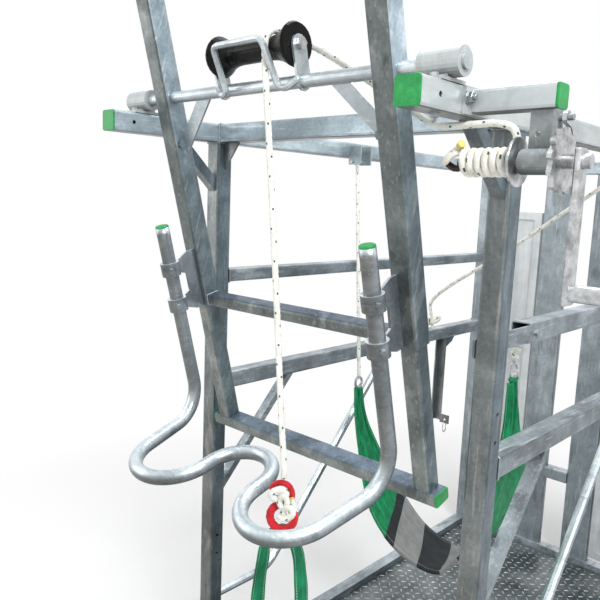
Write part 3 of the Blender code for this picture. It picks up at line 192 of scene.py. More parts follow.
def evened(points, spacing, smooth=True):
    # Points at one spacing on a smooth line through the chosen points. The line's speed follows
    # the knots' own spacing, so it never runs back where they lie unevenly.
    knots = [Vector(p) for p in points]
    fine = []
    if smooth:
        knots = [2 * knots[0] - knots[1]] + knots + [2 * knots[-1] - knots[-2]]
        for a, b, c, d in zip(knots, knots[1:], knots[2:], knots[3:]):
            before, within, after = ((q - p).length ** 0.5 for p, q in ((a, b), (b, c), (c, d)))
            leave = (b - a) / before - (c - a) / (before + within) + (c - b) / within
            arrive = (c - b) / within - (d - b) / (within + after) + (d - c) / after
            for step in range(24):
                t = step / 24
                fine.append((2 * t ** 3 - 3 * t * t + 1) * b + (t ** 3 - 2 * t * t + t) * within * leave
                            + (3 * t * t - 2 * t ** 3) * c + (t ** 3 - t * t) * within * arrive)
        fine.append(knots[-2])
    else:
        fine = knots
    total = length_of(fine)
    count = max(2, round(total / spacing))
    even = [fine[0]]
    walked = 0.0
    for p, q in zip(fine, fine[1:]):
        reach = (q - p).length
        while len(even) < count and walked + reach >= total * len(even) / count:
            even.append(p.lerp(q, (total * len(even) / count - walked) / reach))
        walked += reach
    even.append(fine[-1])
    return even


def linked(name, mesh, *finishes):
    piece = bpy.data.objects.new(name, mesh)
    bpy.context.scene.collection.objects.link(piece)
    mesh.materials.clear()
    for finish in finishes:
        mesh.materials.append(finish)
    return piece


def tube_along(name, route, radius, sides, closed=False):
    # Blender sweeps the round section along the route; the curve is then made a mesh
    curve = bpy.data.curves.new(name + "_line", "CURVE")
    curve.dimensions = "3D"
    curve.bevel_depth = radius
    curve.bevel_resolution = max(0, sides // 2 - 2)
    line = curve.splines.new("POLY")
    line.points.add(len(route) - 1)
    for knot, point in zip(line.points, route):
        knot.co = (*point, 1.0)
    line.use_cyclic_u = closed
    carrier = bpy.data.objects.new(name + "_line", curve)
    bpy.context.scene.collection.objects.link(carrier)
    bpy.context.view_layer.update()
    mesh = bpy.data.meshes.new_from_object(carrier.evaluated_get(bpy.context.evaluated_depsgraph_get()))
    bpy.data.objects.remove(carrier, do_unlink=True)
    mesh.name = name
    return mesh


def capped(mesh):
    # Closes the two open ends of a swept tube
    bm = bmesh.new()
    bm.from_mesh(mesh)
    bmesh.ops.holes_fill(bm, edges=[e for e in bm.edges if e.is_boundary])
    bmesh.ops.recalc_face_normals(bm, faces=bm.faces)
    bm.to_mesh(mesh)
    bm.free()


def plaited(name, route, finish, radius=ROPE_R, sides=ROPE_SIDES, relief=0.11, closed=False,
            turn=PLAIT_TURN):
    # A tube whose surface rises in crossing strands. The attribute "strand" gives each vertex its
    # place in the straightened rope, for the yarn's colours.
    mesh = tube_along(name, route, radius, sides, closed)
    ring = len(mesh.vertices) // len(route)
    if closed:
        ahead = [(route[(i + 1) % len(route)] - route[i - 1]).normalized() for i in range(len(route))]
    else:
        ahead = [(q - p).normalized() for p, q in zip(route[:1] + route[:-1], route[1:] + route[-1:])]
    across = ahead[0].orthogonal().normalized()
    along = 0.0
    strand = []
    for index, spot in enumerate(route):
        if index:
            along += (spot - route[index - 1]).length
            across = ahead[index - 1].rotation_difference(ahead[index]) @ across
        other = ahead[index].cross(across)
        for vert in mesh.vertices[index * ring:(index + 1) * ring]:
            out = vert.co - spot
            angle = math.atan2(out.dot(other), out.dot(across))
            slant = 2 * math.pi * along / turn
            crossing = PLAIT_STRANDS * angle / 2
            lift = abs(math.sin(crossing + slant) * math.sin(crossing - slant))
            vert.co = spot + out * (1.0 - relief + relief * math.sqrt(lift) * 1.25)
            strand.extend((radius * math.cos(angle), radius * math.sin(angle), along))
    attribute = mesh.attributes.new("strand", "FLOAT_VECTOR", "POINT")
    attribute.data.foreach_set("vector", strand)
    if not closed:
        capped(mesh)
    mesh.shade_smooth()
    return linked(name, mesh, finish)


def settled(piece, body, node=None):
    # Tells the frame which body carries the piece and which CAD node it stands for
    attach(piece, body)
    if node:
        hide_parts(node)
    return piece


rope_white = yarn("rope_white", (0.84, 0.84, 0.79), (0.66, 0.66, 0.59), (0.020, 0.085, 0.055))
rope_aged = yarn("rope_aged", (0.83, 0.82, 0.76), (0.56, 0.54, 0.46), (0.025, 0.060, 0.040), 0.017)


# Hoist rope: from the top of the roller down to the knot that carries the leg strap.
# It bears on the roller's waist and hangs from there with the strap's weight on it.
LEAN = math.radians(14.6)
SHAFT = Vector((0.0, -0.255, 1.780))
ROLLER_LIFT = 0.070
ROLLER_AXIS = SHAFT + Vector((0.0, -ROLLER_LIFT * math.sin(LEAN), ROLLER_LIFT * math.cos(LEAN)))
WAIST_R = 0.0260
ROPE_WRAP = WAIST_R + GAP + ROPE_R
ROPE_ON_ROLLER_X = 0.059
KNOT_TOP = Vector((0.168, -0.318, 0.983))
fall = evened([KNOT_TOP, KNOT_TOP + Vector((0, 0, 0.013)), (0.152, -0.316, 1.110), (0.119, -0.312, 1.380),
               (0.079, -0.307, 1.680), (0.060, ROLLER_AXIS.y - ROPE_WRAP, 1.815)], ROPE_STEP)
over = []
for step in range(25):
    swing = math.radians(180.0 - 114.0 * step / 24)
    over.append(Vector((ROPE_ON_ROLLER_X, ROLLER_AXIS.y + ROPE_WRAP * math.cos(swing),
                        ROLLER_AXIS.z + ROPE_WRAP * math.sin(swing))))
leaving = Vector((0.0, math.sin(swing), -math.cos(swing)))
over.append(over[-1] + leaving * ROPE_R)
hoist_route = list(reversed(evened(fall + over, ROPE_STEP, smooth=False)))
hoist_rope = plaited("hoist_line", hoist_route, rope_white)
settled(hoist_rope, "gantry", "hoist_rope")

# Winch rope: from the drum's winding in over the side rail's inner face and up to the roller.
CORE = Vector((0.0, -0.220, 1.620))
CORE_R = 0.0115
WIND_R = CORE_R + GAP + ROPE_R
WIND_X = 0.5565
drum_y = CORE.y + WIND_R
run_start = over[-1] + leaving * GAP
winch_route = evened([run_start, run_start + leaving * ROPE_R, (0.073, -0.221, 1.867),
                      (0.093, -0.212, 1.860), (0.125, -0.206, 1.844), (0.220, -0.199, 1.790),
                      (0.330, -0.193, 1.724), (0.400, -0.198, 1.688), (0.470, -0.2010, 1.6855),
                      (0.522, drum_y, 1.6845), (0.548, drum_y, 1.674), (WIND_X, drum_y, 1.646),
                      (WIND_X, drum_y, 1.6333)], ROPE_STEP)
winch_route.reverse()
winch_rope = plaited("winch_line", winch_route, rope_white)
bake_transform(winch_rope)
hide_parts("winch_rope")

# Belt ropes: one hangs the belt's left ring from the channel on the left rail; a short doubled
# lashing ties the right ring up under the stacked middle rail.
RING_WIRE = 0.0022
RING_R = 0.023
CHANNEL_FOOT = 1.678
left_hook = Vector((-0.400, 0.580, CHANNEL_FOOT - GAP))
left_ring_top = Vector((-0.346, 0.580, 0.890 + RING_WIRE + 2 * RING_R + GAP))
drop = Vector((0.0, 0.0, ROPE_R))
left_route = evened([left_hook, left_hook - drop, left_ring_top + drop, left_ring_top], ROPE_STEP,
                    smooth=False)
belt_rope_left = plaited("belt_line_left", left_route, rope_white)
LASH_R = 0.0050
LASH_TURNS = 2.5
LASH_STEPS = 60
LASH_REACH = 0.0052
MID_RAIL_FOOT = 1.233
right_tie = Vector((0.378, 0.270, MID_RAIL_FOOT - GAP))
right_ring_top = Vector((0.366, 0.276, 1.130 + RING_WIRE + 2 * RING_R + GAP))
lash = []
for step in range(LASH_STEPS + 1):
    share = step / LASH_STEPS
    swing = 2 * math.pi * LASH_TURNS * share
    reach = LASH_REACH + 0.0022 * math.sin(math.pi * share)
    lash.append(right_tie.lerp(right_ring_top, share)
                + Vector((reach * math.cos(swing) - LASH_REACH, reach * math.sin(swing), 0.0)))
lash = evened(lash, ROPE_STEP)
belt_rope_right = plaited("belt_line_right", lash, rope_white, radius=LASH_R, sides=16, turn=0.020)
for rope, side in ((belt_rope_left, "left"), (belt_rope_right, "right")):
    settled(rope, "crate", "belt_rope_" + side)

# Cross rope: the same plaited cord, aged. It is tied round the left low rail in a lump of a knot
# and runs taut up to the right top rail.
cross_route = evened([(-0.430, 1.180, 1.0263), (-0.430, 1.180, 1.039), (-0.424, 1.158, 1.086),
                      (-0.412, 1.130, 1.146), (0.000, 0.976, 1.412), (0.405, 0.828, 1.672),
                      (0.430, 0.820, 1.6847), (0.430, 0.820, 1.6974)], ROPE_STEP)
cross_rope = plaited("cross_line", cross_route, rope_aged)
settled(cross_rope, "crate", "cross_rope")
HITCH_STEPS = 160
hitch = []
for step in range(HITCH_STEPS):
    t = 2 * math.pi * step / HITCH_STEPS
    hitch.append(Vector((-0.430 + 0.020 * math.sin(t) + 0.012 * math.sin(3 * t),
                         1.1850 + 0.021 * math.cos(2 * t),
                         1.062 + 0.018 * math.sin(2 * t) * math.cos(t) + 0.006 * math.cos(3 * t))))
cross_knot = plaited("cross_knot", hitch, rope_aged, radius=0.0082, closed=True)
settled(cross_knot, "crate")

# Winding: six turns of the same rope on the bare winch core, weathered where it lies open.
# The tail comes off its left end over the drum's horn, with a yellow whipping on its end.
WIND_STEPS = 48
WIND_PITCH = 0.0136
WIND_EASE = 0.003
turns = [Vector((WIND_X, drum_y, CORE.z + 2 * ROPE_R))]
wind_count = round(5.75 * WIND_STEPS)
for step in range(wind_count + 1):
    begun = step / WIND_STEPS
    left = (wind_count - step) / WIND_STEPS
    shift = WIND_EASE * (max(0.0, 1 - 4 * begun) - max(0.0, 1 - 4 * left))
    turns.append(Vector((WIND_X - WIND_EASE - WIND_PITCH * begun + shift,
                         CORE.y + WIND_R * math.cos(2 * math.pi * begun),
                         CORE.z - WIND_R * math.sin(2 * math.pi * begun))))
winding_route = evened(turns, ROPE_STEP, smooth=False)
winding = plaited("winding", winding_route, rope_aged)
settled(winding, "drum", "rope_winding")
tail_route = evened([CORE + Vector(p) for p in (
    (0.4735, 0.004, WIND_R + 0.0005), (0.4625, -0.004, WIND_R - 0.001), (0.4530, -0.017, 0.010),
    (0.4440, -0.016, 0.0005), (0.4370, 0.000, 0.008), (0.4440, 0.006, 0.017), (0.4560, 0.000, 0.022),
    (0.4660, -0.008, 0.027))], ROPE_STEP)
tail = plaited("winding_tail", tail_route, rope_aged, radius=0.0060)
settled(tail, "drum")
whipping_finish, whipping_shader = blank("yellow_whipping", roughness=0.7)
twine = add_node(whipping_finish, "ShaderNodeAttribute", attribute_name="strand").outputs["Vector"]
wraps = add_node(whipping_finish, "ShaderNodeTexWave", twine, Scale=260.0, Distortion=0.6,
                 bands_direction="Z").outputs["Fac"]
binding = ramp(whipping_finish, wraps, ((0.2, (0.42, 0.30, 0.06)), (0.7, (0.86, 0.68, 0.20))))
wire(whipping_finish, binding, whipping_shader.inputs["Base Color"])
bumped(whipping_finish, whipping_shader, wraps, 0.6, 0.0006)
whipping_route = evened([CORE + Vector((0.4655, -0.0076, 0.0268)),
                         CORE + Vector((0.4720, -0.0125, 0.0305))], 0.0009)
whipping = plaited("tail_whipping", whipping_route, whipping_finish, radius=0.0068, relief=0.04)
settled(whipping, "drum")

# Knot: the hoist rope's white bight caught round a red rope becket and a red rope grommet, whose
# lower side carries the leg strap. Laid out as seen from the camera, in steps of 2.17 mm.
KNOT_UNIT = 0.00217
KNOT_TURN = 0.020
rope_red = yarn("rope_red", (0.62, 0.012, 0.020), (0.30, 0.004, 0.008))


def placed(across, down, nearer):
    return KNOT_TOP + (eye_right * across - eye_up * down) * KNOT_UNIT + eye_back * nearer


def knotted(name, finish, thick, *steps):
    route = evened([placed(*step) for step in steps], ROPE_STEP)
    return plaited(name, route, finish, radius=thick, turn=KNOT_TURN)


def ringed(name, finish, thick, centre, half, tilt):
    # An oval of rope round a middle given in the same steps, its right side nearer by tilt
    route = []
    count = round(2 * math.pi * max(half) * KNOT_UNIT / ROPE_STEP)
    for step in range(count):
        swing = 2 * math.pi * step / count
        route.append(placed(centre[0] + half[0] * math.cos(swing), centre[1] - half[1] * math.sin(swing),
                            centre[2] + tilt[0] * math.cos(swing) + tilt[1] * math.sin(swing)))
    return plaited(name, route, finish, radius=thick, closed=True, turn=KNOT_TURN)


knot_pieces = [
    ringed("knot_grommet_red", rope_red, 0.0085, (-1.8, 36.5, 0.000), (11.5, 11.0), (0.006, -0.004)),
    knotted("knot_becket_red", rope_red, 0.0062, (-12.0, 11.0, -0.006), (-8.5, 6.0, -0.002),
            (-2.0, 4.2, 0.001), (4.0, 6.5, 0.002), (7.2, 12.0, 0.000), (7.6, 18.0, -0.003),
            (4.5, 24.0, -0.008), (0.0, 29.0, -0.010)),
    ringed("knot_bight_high", rope_white, 0.0074, (-4.8, 14.5, 0.008), (6.8, 4.6), (-0.003, 0.004)),
    ringed("knot_bight_middle", rope_white, 0.0066, (-0.5, 21.0, 0.010), (3.6, 5.6), (0.003, 0.003)),
    ringed("knot_bight_low", rope_white, 0.0068, (3.6, 32.0, 0.008), (4.6, 5.8), (0.003, 0.004)),
    knotted("knot_tail", rope_white, 0.0056, (-5.5, 34.5, 0.008), (-2.0, 36.5, 0.013), (3.5, 35.5, 0.014),
            (9.0, 30.0, 0.011), (9.5, 24.0, 0.008), (7.2, 19.6, 0.006)),
    knotted("knot_tail_end", whipping_finish, 0.0052, (7.3, 20.6, 0.0066), (6.9, 17.6, 0.0064)),
]
for piece in knot_pieces:
    settled(piece, "gantry")
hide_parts("rope_knot")

# Yard and light: a pale floor that keeps the crate's shadow and fades into a white surround, with
# soft lamps: the key at the right rear, a weak fill at the left rear and one overhead.


def object_place(finish):
    return add_node(finish, "ShaderNodeTexCoord").outputs["Object"]


def meshed(name, bm):
    mesh = bpy.data.meshes.new(name)
    bm.to_mesh(mesh)
    bm.free()
    return mesh


bm = bmesh.new()
bmesh.ops.create_grid(bm, x_segments=1, y_segments=1, size=30.0)
bmesh.ops.translate(bm, vec=(0, 0, -0.0005), verts=bm.verts)
yard_finish, yard_shader = blank("yard_pale", roughness=0.9)
yard_shader.inputs["Base Color"].default_value = (0.92, 0.92, 0.92, 1.0)
yard_shader.inputs["Specular IOR Level"].default_value = 0.1
yard_reach = add_node(yard_finish, "ShaderNodeVectorMath", operation="DISTANCE")
yard_reach.inputs[1].default_value = (0.0, 0.7, 0.0)
wire(yard_finish, object_place(yard_finish), yard_reach.inputs[0])
glow = add_node(yard_finish, "ShaderNodeEmission")
fade = add_node(yard_finish, "ShaderNodeMixShader")
wire(yard_finish, ranged(yard_finish, yard_reach.outputs["Value"], 0.0, 1.0, 1.3, 2.6), fade.inputs["Fac"])
wire(yard_finish, yard_shader.outputs["BSDF"], fade.inputs[1])
wire(yard_finish, glow.outputs["Emission"], fade.inputs[2])
wire(yard_finish, fade.outputs["Shader"],
     yard_finish.node_tree.nodes["Material Output"].inputs["Surface"])
yard = linked("yard", meshed("yard", bm), yard_finish)

world = bpy.data.worlds.new("surround")
bpy.context.scene.world = world
world.use_nodes = True
sky = world.node_tree.nodes["Background"]
ray = add_node(world, "ShaderNodeLightPath")
seen = calc(world, "MAXIMUM", ray.outputs["Is Camera Ray"], ray.outputs["Is Glossy Ray"])
wire(world, ranged(world, seen, 0.46, 1.0), sky.inputs["Strength"])
sky.inputs["Color"].default_value = (1.0, 1.0, 1.0, 1.0)

for name, spot, aim, size, power in (
    ("key_lamp", (3.0, -1.6, 4.2), (0.0, 0.2, 1.2), 1.6, 175.0),
    ("fill_lamp", (-3.2, -2.6, 2.4), (0.0, 0.2, 1.0), 2.8, 42.0),
    ("top_lamp", (0.0, 1.4, 5.0), (0.0, 0.4, 0.6), 2.6, 100.0),
):
    lamp_data = bpy.data.lights.new(name, "AREA")
    lamp_data.energy = power
    lamp_data.size = size
    lamp = bpy.data.objects.new(name, lamp_data)
    lamp.location = spot
    lamp.rotation_euler = (Vector(aim) - Vector(spot)).to_track_quat("-Z", "Y").to_euler()
    bpy.context.scene.collection.objects.link(lamp)
bpy.context.scene.view_settings.view_transform = "Standard"

# Galvanised tube: hot-dip zinc on square and round steel tube, bolted and welded. The zinc has
# soft patches, slanting wipe marks, fine scratches and spangle. Each face also carries painted
# light and shade by the way it looks: mostly lighter where it looks up, darker on undersides and
# on faces that look back and down.


def mapped(finish, place, **values):
    return add_node(finish, "ShaderNodeMapping", place, **values).outputs["Vector"]


def coloured(finish, shader, colour, rough):
    wire(finish, colour, shader.inputs["Base Color"])
    wire(finish, rough, shader.inputs["Roughness"])


def zinc(name, turn, offset=(0.0, 0.0, 0.0), tone=1.0, gloss=0.0, metallic=0.55, rear=(1.0, 1.0, 1.0),
         side=(1.0, 1.0, 1.0), top=(1.25, 1.27, 1.30), under=(0.55, 0.54, 0.52), low=None, low_side=None,
         calm=0.0, soft=0.0):
    # turn lays the pattern along the tube. rear, side, top and under are painted light and shade
    # tones for the faces that look those ways; low and low_side are (from height, to height, tone below)
    # and make the whole finish, or only its side faces, darker below a height.
    def toned(*colour):
        return tuple(min(1.0, tone * c) for c in colour)

    finish, shader = blank(name, metallic=metallic)
    whole = add_node(finish, "ShaderNodeTexCoord")
    place = whole.outputs["Object"]
    laid = mapped(finish, place, Rotation=turn, Location=offset)
    slant = mapped(finish, laid, Rotation=(0.80, 0.75, 0.20), Scale=(7.5, 7.5, 2.0))
    scrape = mapped(finish, laid, Rotation=(0.62, -0.66, 0.30), Scale=(70.0, 70.0, 5.0))
    cloud = noised(finish, laid, 11.0, 9.0, 0.60)
    patch = noised(finish, laid, 3.1, 4.0)
    wipe_and_shadow = noised(finish, slant, 2.6, 7.0, 0.62)
    scratch = noised(finish, scrape, 2.0, 3.0)
    grain = add_node(finish, "ShaderNodeTexVoronoi", laid, Scale=150.0)
    cells = add_node(finish, "ShaderNodeSeparateColor")
    wire(finish, grain.outputs["Color"], cells.inputs["Color"])
    base = ramp(finish, cloud, ((0.30, toned(0.188, 0.221, 0.232)), (0.50, toned(0.288, 0.327, 0.342)),
                                (0.72, toned(0.436, 0.480, 0.498))))
    base = mixed(finish, 0.7 * calm, base, toned(0.345, 0.368, 0.374))
    broad = ramp(finish, patch, ((0.40, (0.72, 0.73, 0.74)), (0.60, (1.16, 1.17, 1.18))))
    base = mixed(finish, 0.85 - 0.55 * calm, base, broad, "MULTIPLY")
    # Pale wipe marks, dark slanting bands that are partly wipe marks and partly painted shadow of
    # neighbouring tubes, and fine scratches
    for source, black, white, share, colour in (
        (wipe_and_shadow, 0.545, 0.640, 0.50 - 0.35 * calm, (0.66, 0.69, 0.70)),
        (wipe_and_shadow, 0.430, 0.350, 0.62 - 0.45 * calm, (0.095, 0.108, 0.110)),
        (scratch, 0.625, 0.680, 0.34 - 0.30 * calm, (0.80, 0.81, 0.80)),
    ):
        stops = sorted([(black, (0.0, 0.0, 0.0)), (white, (1.0, 1.0, 1.0))])
        base = mixed(finish, ranged(finish, ramp(finish, source, stops), 0.0, share), base, toned(*colour))
    flake = ramp(finish, cells.outputs["Green"], ((0.0, (0.84, 0.84, 0.85)), (1.0, (1.14, 1.14, 1.15))))
    base = mixed(finish, 0.7 - 0.6 * calm, base, flake, "MULTIPLY")
    # Painted light and shade: each face is tinted by the way its normal looks, and side faces below
    # low_side's heights take a painted shade
    facing = add_node(finish, "ShaderNodeSeparateXYZ", whole.outputs["Normal"]).outputs
    height = add_node(finish, "ShaderNodeSeparateXYZ", place).outputs["Z"]
    if low_side:
        side = mixed(finish, ranged(finish, height, 1.0, 0.0, *low_side[:2]), side, low_side[2])
    painted_facing_light = mixed(finish, ranged(finish, facing["Y"], 1.0, 0.0, -0.85, -0.35), side, rear)
    painted_facing_light = mixed(finish, ranged(finish, facing["Z"], 0.0, 1.0, 0.35 - 0.30 * soft, 0.85), painted_facing_light, top)
    painted_facing_light = mixed(finish, ranged(finish, facing["Z"], 1.0, 0.0, -0.85, -0.40 + 0.45 * soft), painted_facing_light, under)
    base = mixed(finish, 1.0, base, painted_facing_light, "MULTIPLY")
    if low:
        base = mixed(finish, ranged(finish, height, 1.0, 0.0, *low[:2]), base,
                     mixed(finish, 1.0, base, low[2], "MULTIPLY"))
    coloured(finish, shader, base, ranged(finish, cloud, 0.46 - gloss, 0.26 - gloss, 0.3, 0.7))
    fine = noised(finish, laid, 420.0, 4.0, 0.7)
    bumped(finish, shader, mixed(finish, 0.35, fine, cloud), 0.14, 0.0012)
    return finish


def clothe(finish, *names):
    for name in names:
        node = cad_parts[name]
        node.data.materials.clear()
        node.data.materials.append(finish)


# The rear, side, top, under and tone values below set each material's painted light and shade. zinc_sunny is
# the sunlit right rail and arm, painted bright; low_side paints the shade on the gantry uprights below the
# side rail; zinc_post is darker towards the bottom.
STRAIGHT = (0.0, 0.0, 0.0)
ALONG = (math.pi / 2, 0.0, 0.0)
LEANED = (LEAN, 0.0, 0.0)
clothe(zinc("zinc_post", STRAIGHT, rear=(0.60, 0.58, 0.55), side=(0.34, 0.40, 0.44),
            low=(0.35, 1.05, (0.78, 0.73, 0.69))), "rear_post_left", "rear_post_right", "holder_bar")
clothe(zinc("zinc_front", STRAIGHT, (3.1, 0.7, 1.9), rear=(0.85, 0.88, 0.90), side=(0.45, 0.48, 0.50),
            calm=0.35), "front_post_left", "front_post_right", "neck_frame")
clothe(zinc("zinc_along", ALONG, side=(0.66, 0.70, 0.73)), "mid_rail_left", "mid_rail_right",
       "low_rail_left", "low_rail_right", "base_frame", "side_brace_left", "side_brace_right")
clothe(zinc("zinc_rail", ALONG, (0.2, 0.9, 0.1), rear=(1.18, 1.21, 1.24), side=(1.40, 1.50, 1.57), calm=0.4),
       "side_rail_left")
clothe(zinc("zinc_sunny", (math.pi / 2, 0.0, 0.3), (0.7, 0.1, 0.4), tone=1.38, metallic=0.40,
            rear=(1.10, 1.10, 1.08), side=(1.06, 1.06, 1.04), under=(0.36, 0.34, 0.32), calm=1.0),
       "side_rail_right", "winch_arm")
clothe(zinc("zinc_across", (0.0, math.pi / 2, 0.0), rear=(1.32, 1.40, 1.47), calm=0.3),
       "rear_cross_tube", "front_cross_tube")
clothe(zinc("zinc_leaned", LEANED, (0.4, 0.0, 2.2), rear=(0.42, 0.43, 0.40), side=(1.12, 1.22, 1.31),
            low_side=(1.58, 1.80, (0.48, 0.55, 0.58))),
       "gantry_upright_left", "gantry_upright_right", "gantry_top_bar")
clothe(zinc("zinc_lower", LEANED, (1.4, 0.3, 0.2), rear=(0.56, 0.55, 0.50), side=(0.38, 0.44, 0.46),
            top=(0.46, 0.54, 0.66)), "gantry_cross_bar", "lower_frame")
# Painted highlight along the pipe's top and painted shade on its underside
zinc_pipe = zinc("zinc_pipe", (0.0, math.pi / 2, 0.4), (1.3, 0.2, 0.0), tone=1.05, gloss=0.06, metallic=0.65,
                 rear=(0.58, 0.56, 0.54), side=(0.64, 0.66, 0.69), top=(2.10, 2.13, 2.17),
                 under=(0.12, 0.105, 0.095), calm=0.45, soft=1.0)
clothe(zinc_pipe, "kick_guard_left", "kick_guard_right", "leg_rest_bar", "collar_bracket_left",
       "collar_bracket_right")
clothe(zinc("zinc_shaft", (0.0, math.pi / 2, 0.4), (0.3, 0.6, 0.0), tone=1.25, gloss=0.06,
            rear=(1.18, 1.18, 1.18), top=(1.5, 1.5, 1.5), under=(0.62, 0.60, 0.60), calm=0.6),
       "gantry_shaft", "roller_bracket")
clothe(zinc("cast_pale", (0.3, 0.2, 0.5), (0.0, 1.1, 0.3), tone=1.28, gloss=-0.10, metallic=0.25,
            rear=(1.08, 1.05, 1.01), side=(1.00, 0.98, 0.95), under=(0.50, 0.48, 0.46), calm=1.0),
       "shaft_sleeve_left", "shaft_sleeve_right")
clothe(zinc("cast_grey", (0.3, 0.2, 0.5), (0.6, 0.1, 0.3), tone=0.80, gloss=-0.12, metallic=0.30,
            rear=(0.92, 0.90, 0.87), under=(0.36, 0.35, 0.34), calm=0.4), "winch_housing")

# Leg rest bar: 34 mm galvanised pipe bent into two legs, two lobes and a crest between them,
# drawn finely rounded, since it is the nearest and most looked-at piece.
REST_X, REST_BACK, REST_TOP, REST_DROP, REST_BEND_R = 0.320, 0.1025, 0.298, 0.805, 0.0875
LOBE_X, LOBE_BACK, LOBE_R, CREST_BACK, CREST_R = 0.188, 0.275, 0.103, 0.260, 0.085
PIPE_R = 0.01685
BEND_STEPS, LOBE_STEPS = 16, 41
leg = Vector((REST_X, -REST_BACK, 0))
lobe = Vector((LOBE_X, -LOBE_BACK, 0))
inward = lobe - leg
rest_turn = math.atan2(inward.y, inward.x) + math.asin(LOBE_R / inward.length)
rest_ahead = Vector((math.cos(rest_turn), math.sin(rest_turn), 0))
half_bar = [Vector((REST_X, -REST_BACK, -REST_TOP - 0.02 * step)) for step in range(21)]
for step in range(BEND_STEPS + 1):
    swing = math.pi / 2 * step / BEND_STEPS
    half_bar.append(leg + rest_ahead * REST_BEND_R * (1 - math.cos(swing))
                    + Vector((0, 0, -REST_DROP + REST_BEND_R * (1 - math.sin(swing)))))
lobe_start = rest_turn - 1.5 * math.pi if rest_turn > math.pi / 2 else rest_turn + math.pi / 2
for step in range(LOBE_STEPS):
    swing = lobe_start + (-math.pi - lobe_start) * (step + 0.5) / LOBE_STEPS
    half_bar.append(lobe + Vector((LOBE_R * math.cos(swing), LOBE_R * math.sin(swing), -REST_DROP)))
for step in range(1, BEND_STEPS + 1):
    swing = math.pi / 2 * step / BEND_STEPS
    half_bar.append(Vector((CREST_R * math.cos(swing), -CREST_BACK + CREST_R * math.sin(swing), -REST_DROP)))
whole_bar = half_bar + [Vector((-p.x, p.y, p.z)) for p in half_bar[-2::-1]]
tilt = Matrix.Rotation(LEAN, 3, "X")
rest_mesh = tube_along("leg_rest_pipe", [SHAFT + tilt @ p for p in whole_bar], PIPE_R, 40)
capped(rest_mesh)
rest_mesh.shade_smooth()
settled(linked("leg_rest_pipe", rest_mesh, zinc_pipe), "leg_rest", "leg_rest_bar")

# Weld beads: MIG runs round the tube ends where the crate and the gantry were put together,
# dipped in zinc with them, so they are pale and softly rippled.
zinc_weld = zinc("zinc_weld", (0.4, 0.9, 0.1), (0.9, 0.2, 1.3), tone=0.98, rear=(0.95, 0.95, 0.95), calm=0.5)


def weld(name, body, centre, first, second, half, thick=0.0030, corner=0.005):
    route = []
    wide, high = half[0] - corner, half[1] - corner
    for start, (a, b) in zip((0, 90, 180, 270), ((wide, high), (-wide, high), (-wide, -high), (wide, -high))):
        for step in range(7):
            swing = math.radians(start + 15 * step)
            route.append(Vector(centre) + Vector(first) * (a + corner * math.cos(swing))
                         + Vector(second) * (b + corner * math.sin(swing)))
    route = evened(route + route[:1], 0.0012, smooth=False)[:-1]
    mesh = tube_along(name, route, thick, 10, closed=True)
    ring = len(mesh.vertices) // len(route)
    for index, spot in enumerate(route):
        puddle = 0.86 + 0.16 * abs(math.sin(index * 0.95)) + 0.20 * noise.noise(spot * 160.0)
        for vert in mesh.vertices[index * ring:(index + 1) * ring]:
            vert.co = spot + (vert.co - spot) * puddle
    mesh.shade_smooth()
    settled(linked(name, mesh, zinc_weld), body)


EAST, NORTH, UP = (1, 0, 0), (0, 1, 0), (0, 0, 1)
POST_X = 0.44
LOW_RAIL_Z = 1.001
TUBE = (0.0255, 0.0255)
for side, word in ((-1, "left"), (1, "right")):
    x = side * POST_X
    weld("weld_cross_" + word, "crate", (side * 0.4142, 0.0, 1.723), NORTH, UP, TUBE)
    weld("weld_post_top_" + word, "crate", (x, 0.0, 1.6972), EAST, NORTH, TUBE)
    weld("weld_low_rail_" + word, "crate", (x, 0.0260, LOW_RAIL_Z), EAST, UP, TUBE)
    weld("weld_low_rail_front_" + word, "crate", (x, 1.5742, LOW_RAIL_Z), EAST, UP, TUBE)
    weld("weld_guard_foot_" + word, "crate", (x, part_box("kick_guard_" + word)[1].y - 0.0135, 0.9752),
         EAST, NORTH, (0.0142, 0.0142), corner=0.0138)
    weld("weld_cross_bar_" + word, "gantry", (side * 0.3040, -0.1247, 1.27965), tilt @ Vector(NORTH),
         tilt @ Vector(UP), (0.0190, 0.0140), thick=0.0026)
weld("weld_mid_rail_left", "crate", (-POST_X, 0.0260, 1.320), EAST, UP, (TUBE[0], 0.0195))

# Bolts seen at the right rail: the arm's big clamp bolt with its washer, and the ends of the
# sleeve's bolts with their nuts below the rail, all bright zinc-plated.
zinc_bolt = zinc("zinc_bolt", (0.1, 0.9, 0.6), (2.1, 0.5, 0.3), tone=1.10, metallic=0.8, gloss=0.08, calm=0.9)


def bolt(name, foot, away, washer, nut, stud):
    # Washer, bevelled hexagon and rounded stud, each (radius, height), stacked from the foot along away
    bm = bmesh.new()
    lift = 0.0
    for (radius, reach), sides in ((washer, 40), (nut, 6), (stud, 24)):
        made = bmesh.ops.create_cone(bm, cap_ends=True, segments=sides, radius1=radius, radius2=radius,
                                     depth=reach)
        bmesh.ops.translate(bm, verts=made["verts"], vec=(0, 0, lift + reach / 2))
        edges = {e for v in made["verts"] for e in v.link_edges
                 if min(end.co.z for end in e.verts) > lift + reach * 0.6}
        bmesh.ops.bevel(bm, geom=list(edges), offset=min(0.0012, reach * 0.3), offset_type="OFFSET",
                        segments=3, profile=0.5, affect="EDGES", material=-1, clamp_overlap=True)
        lift += reach
    aim = Vector((0, 0, 1)).rotation_difference(Vector(away)).to_matrix().to_4x4()
    bmesh.ops.transform(bm, matrix=Matrix.Translation(foot) @ aim, verts=bm.verts)
    settled(linked(name, meshed(name, bm), zinc_bolt), "crate")


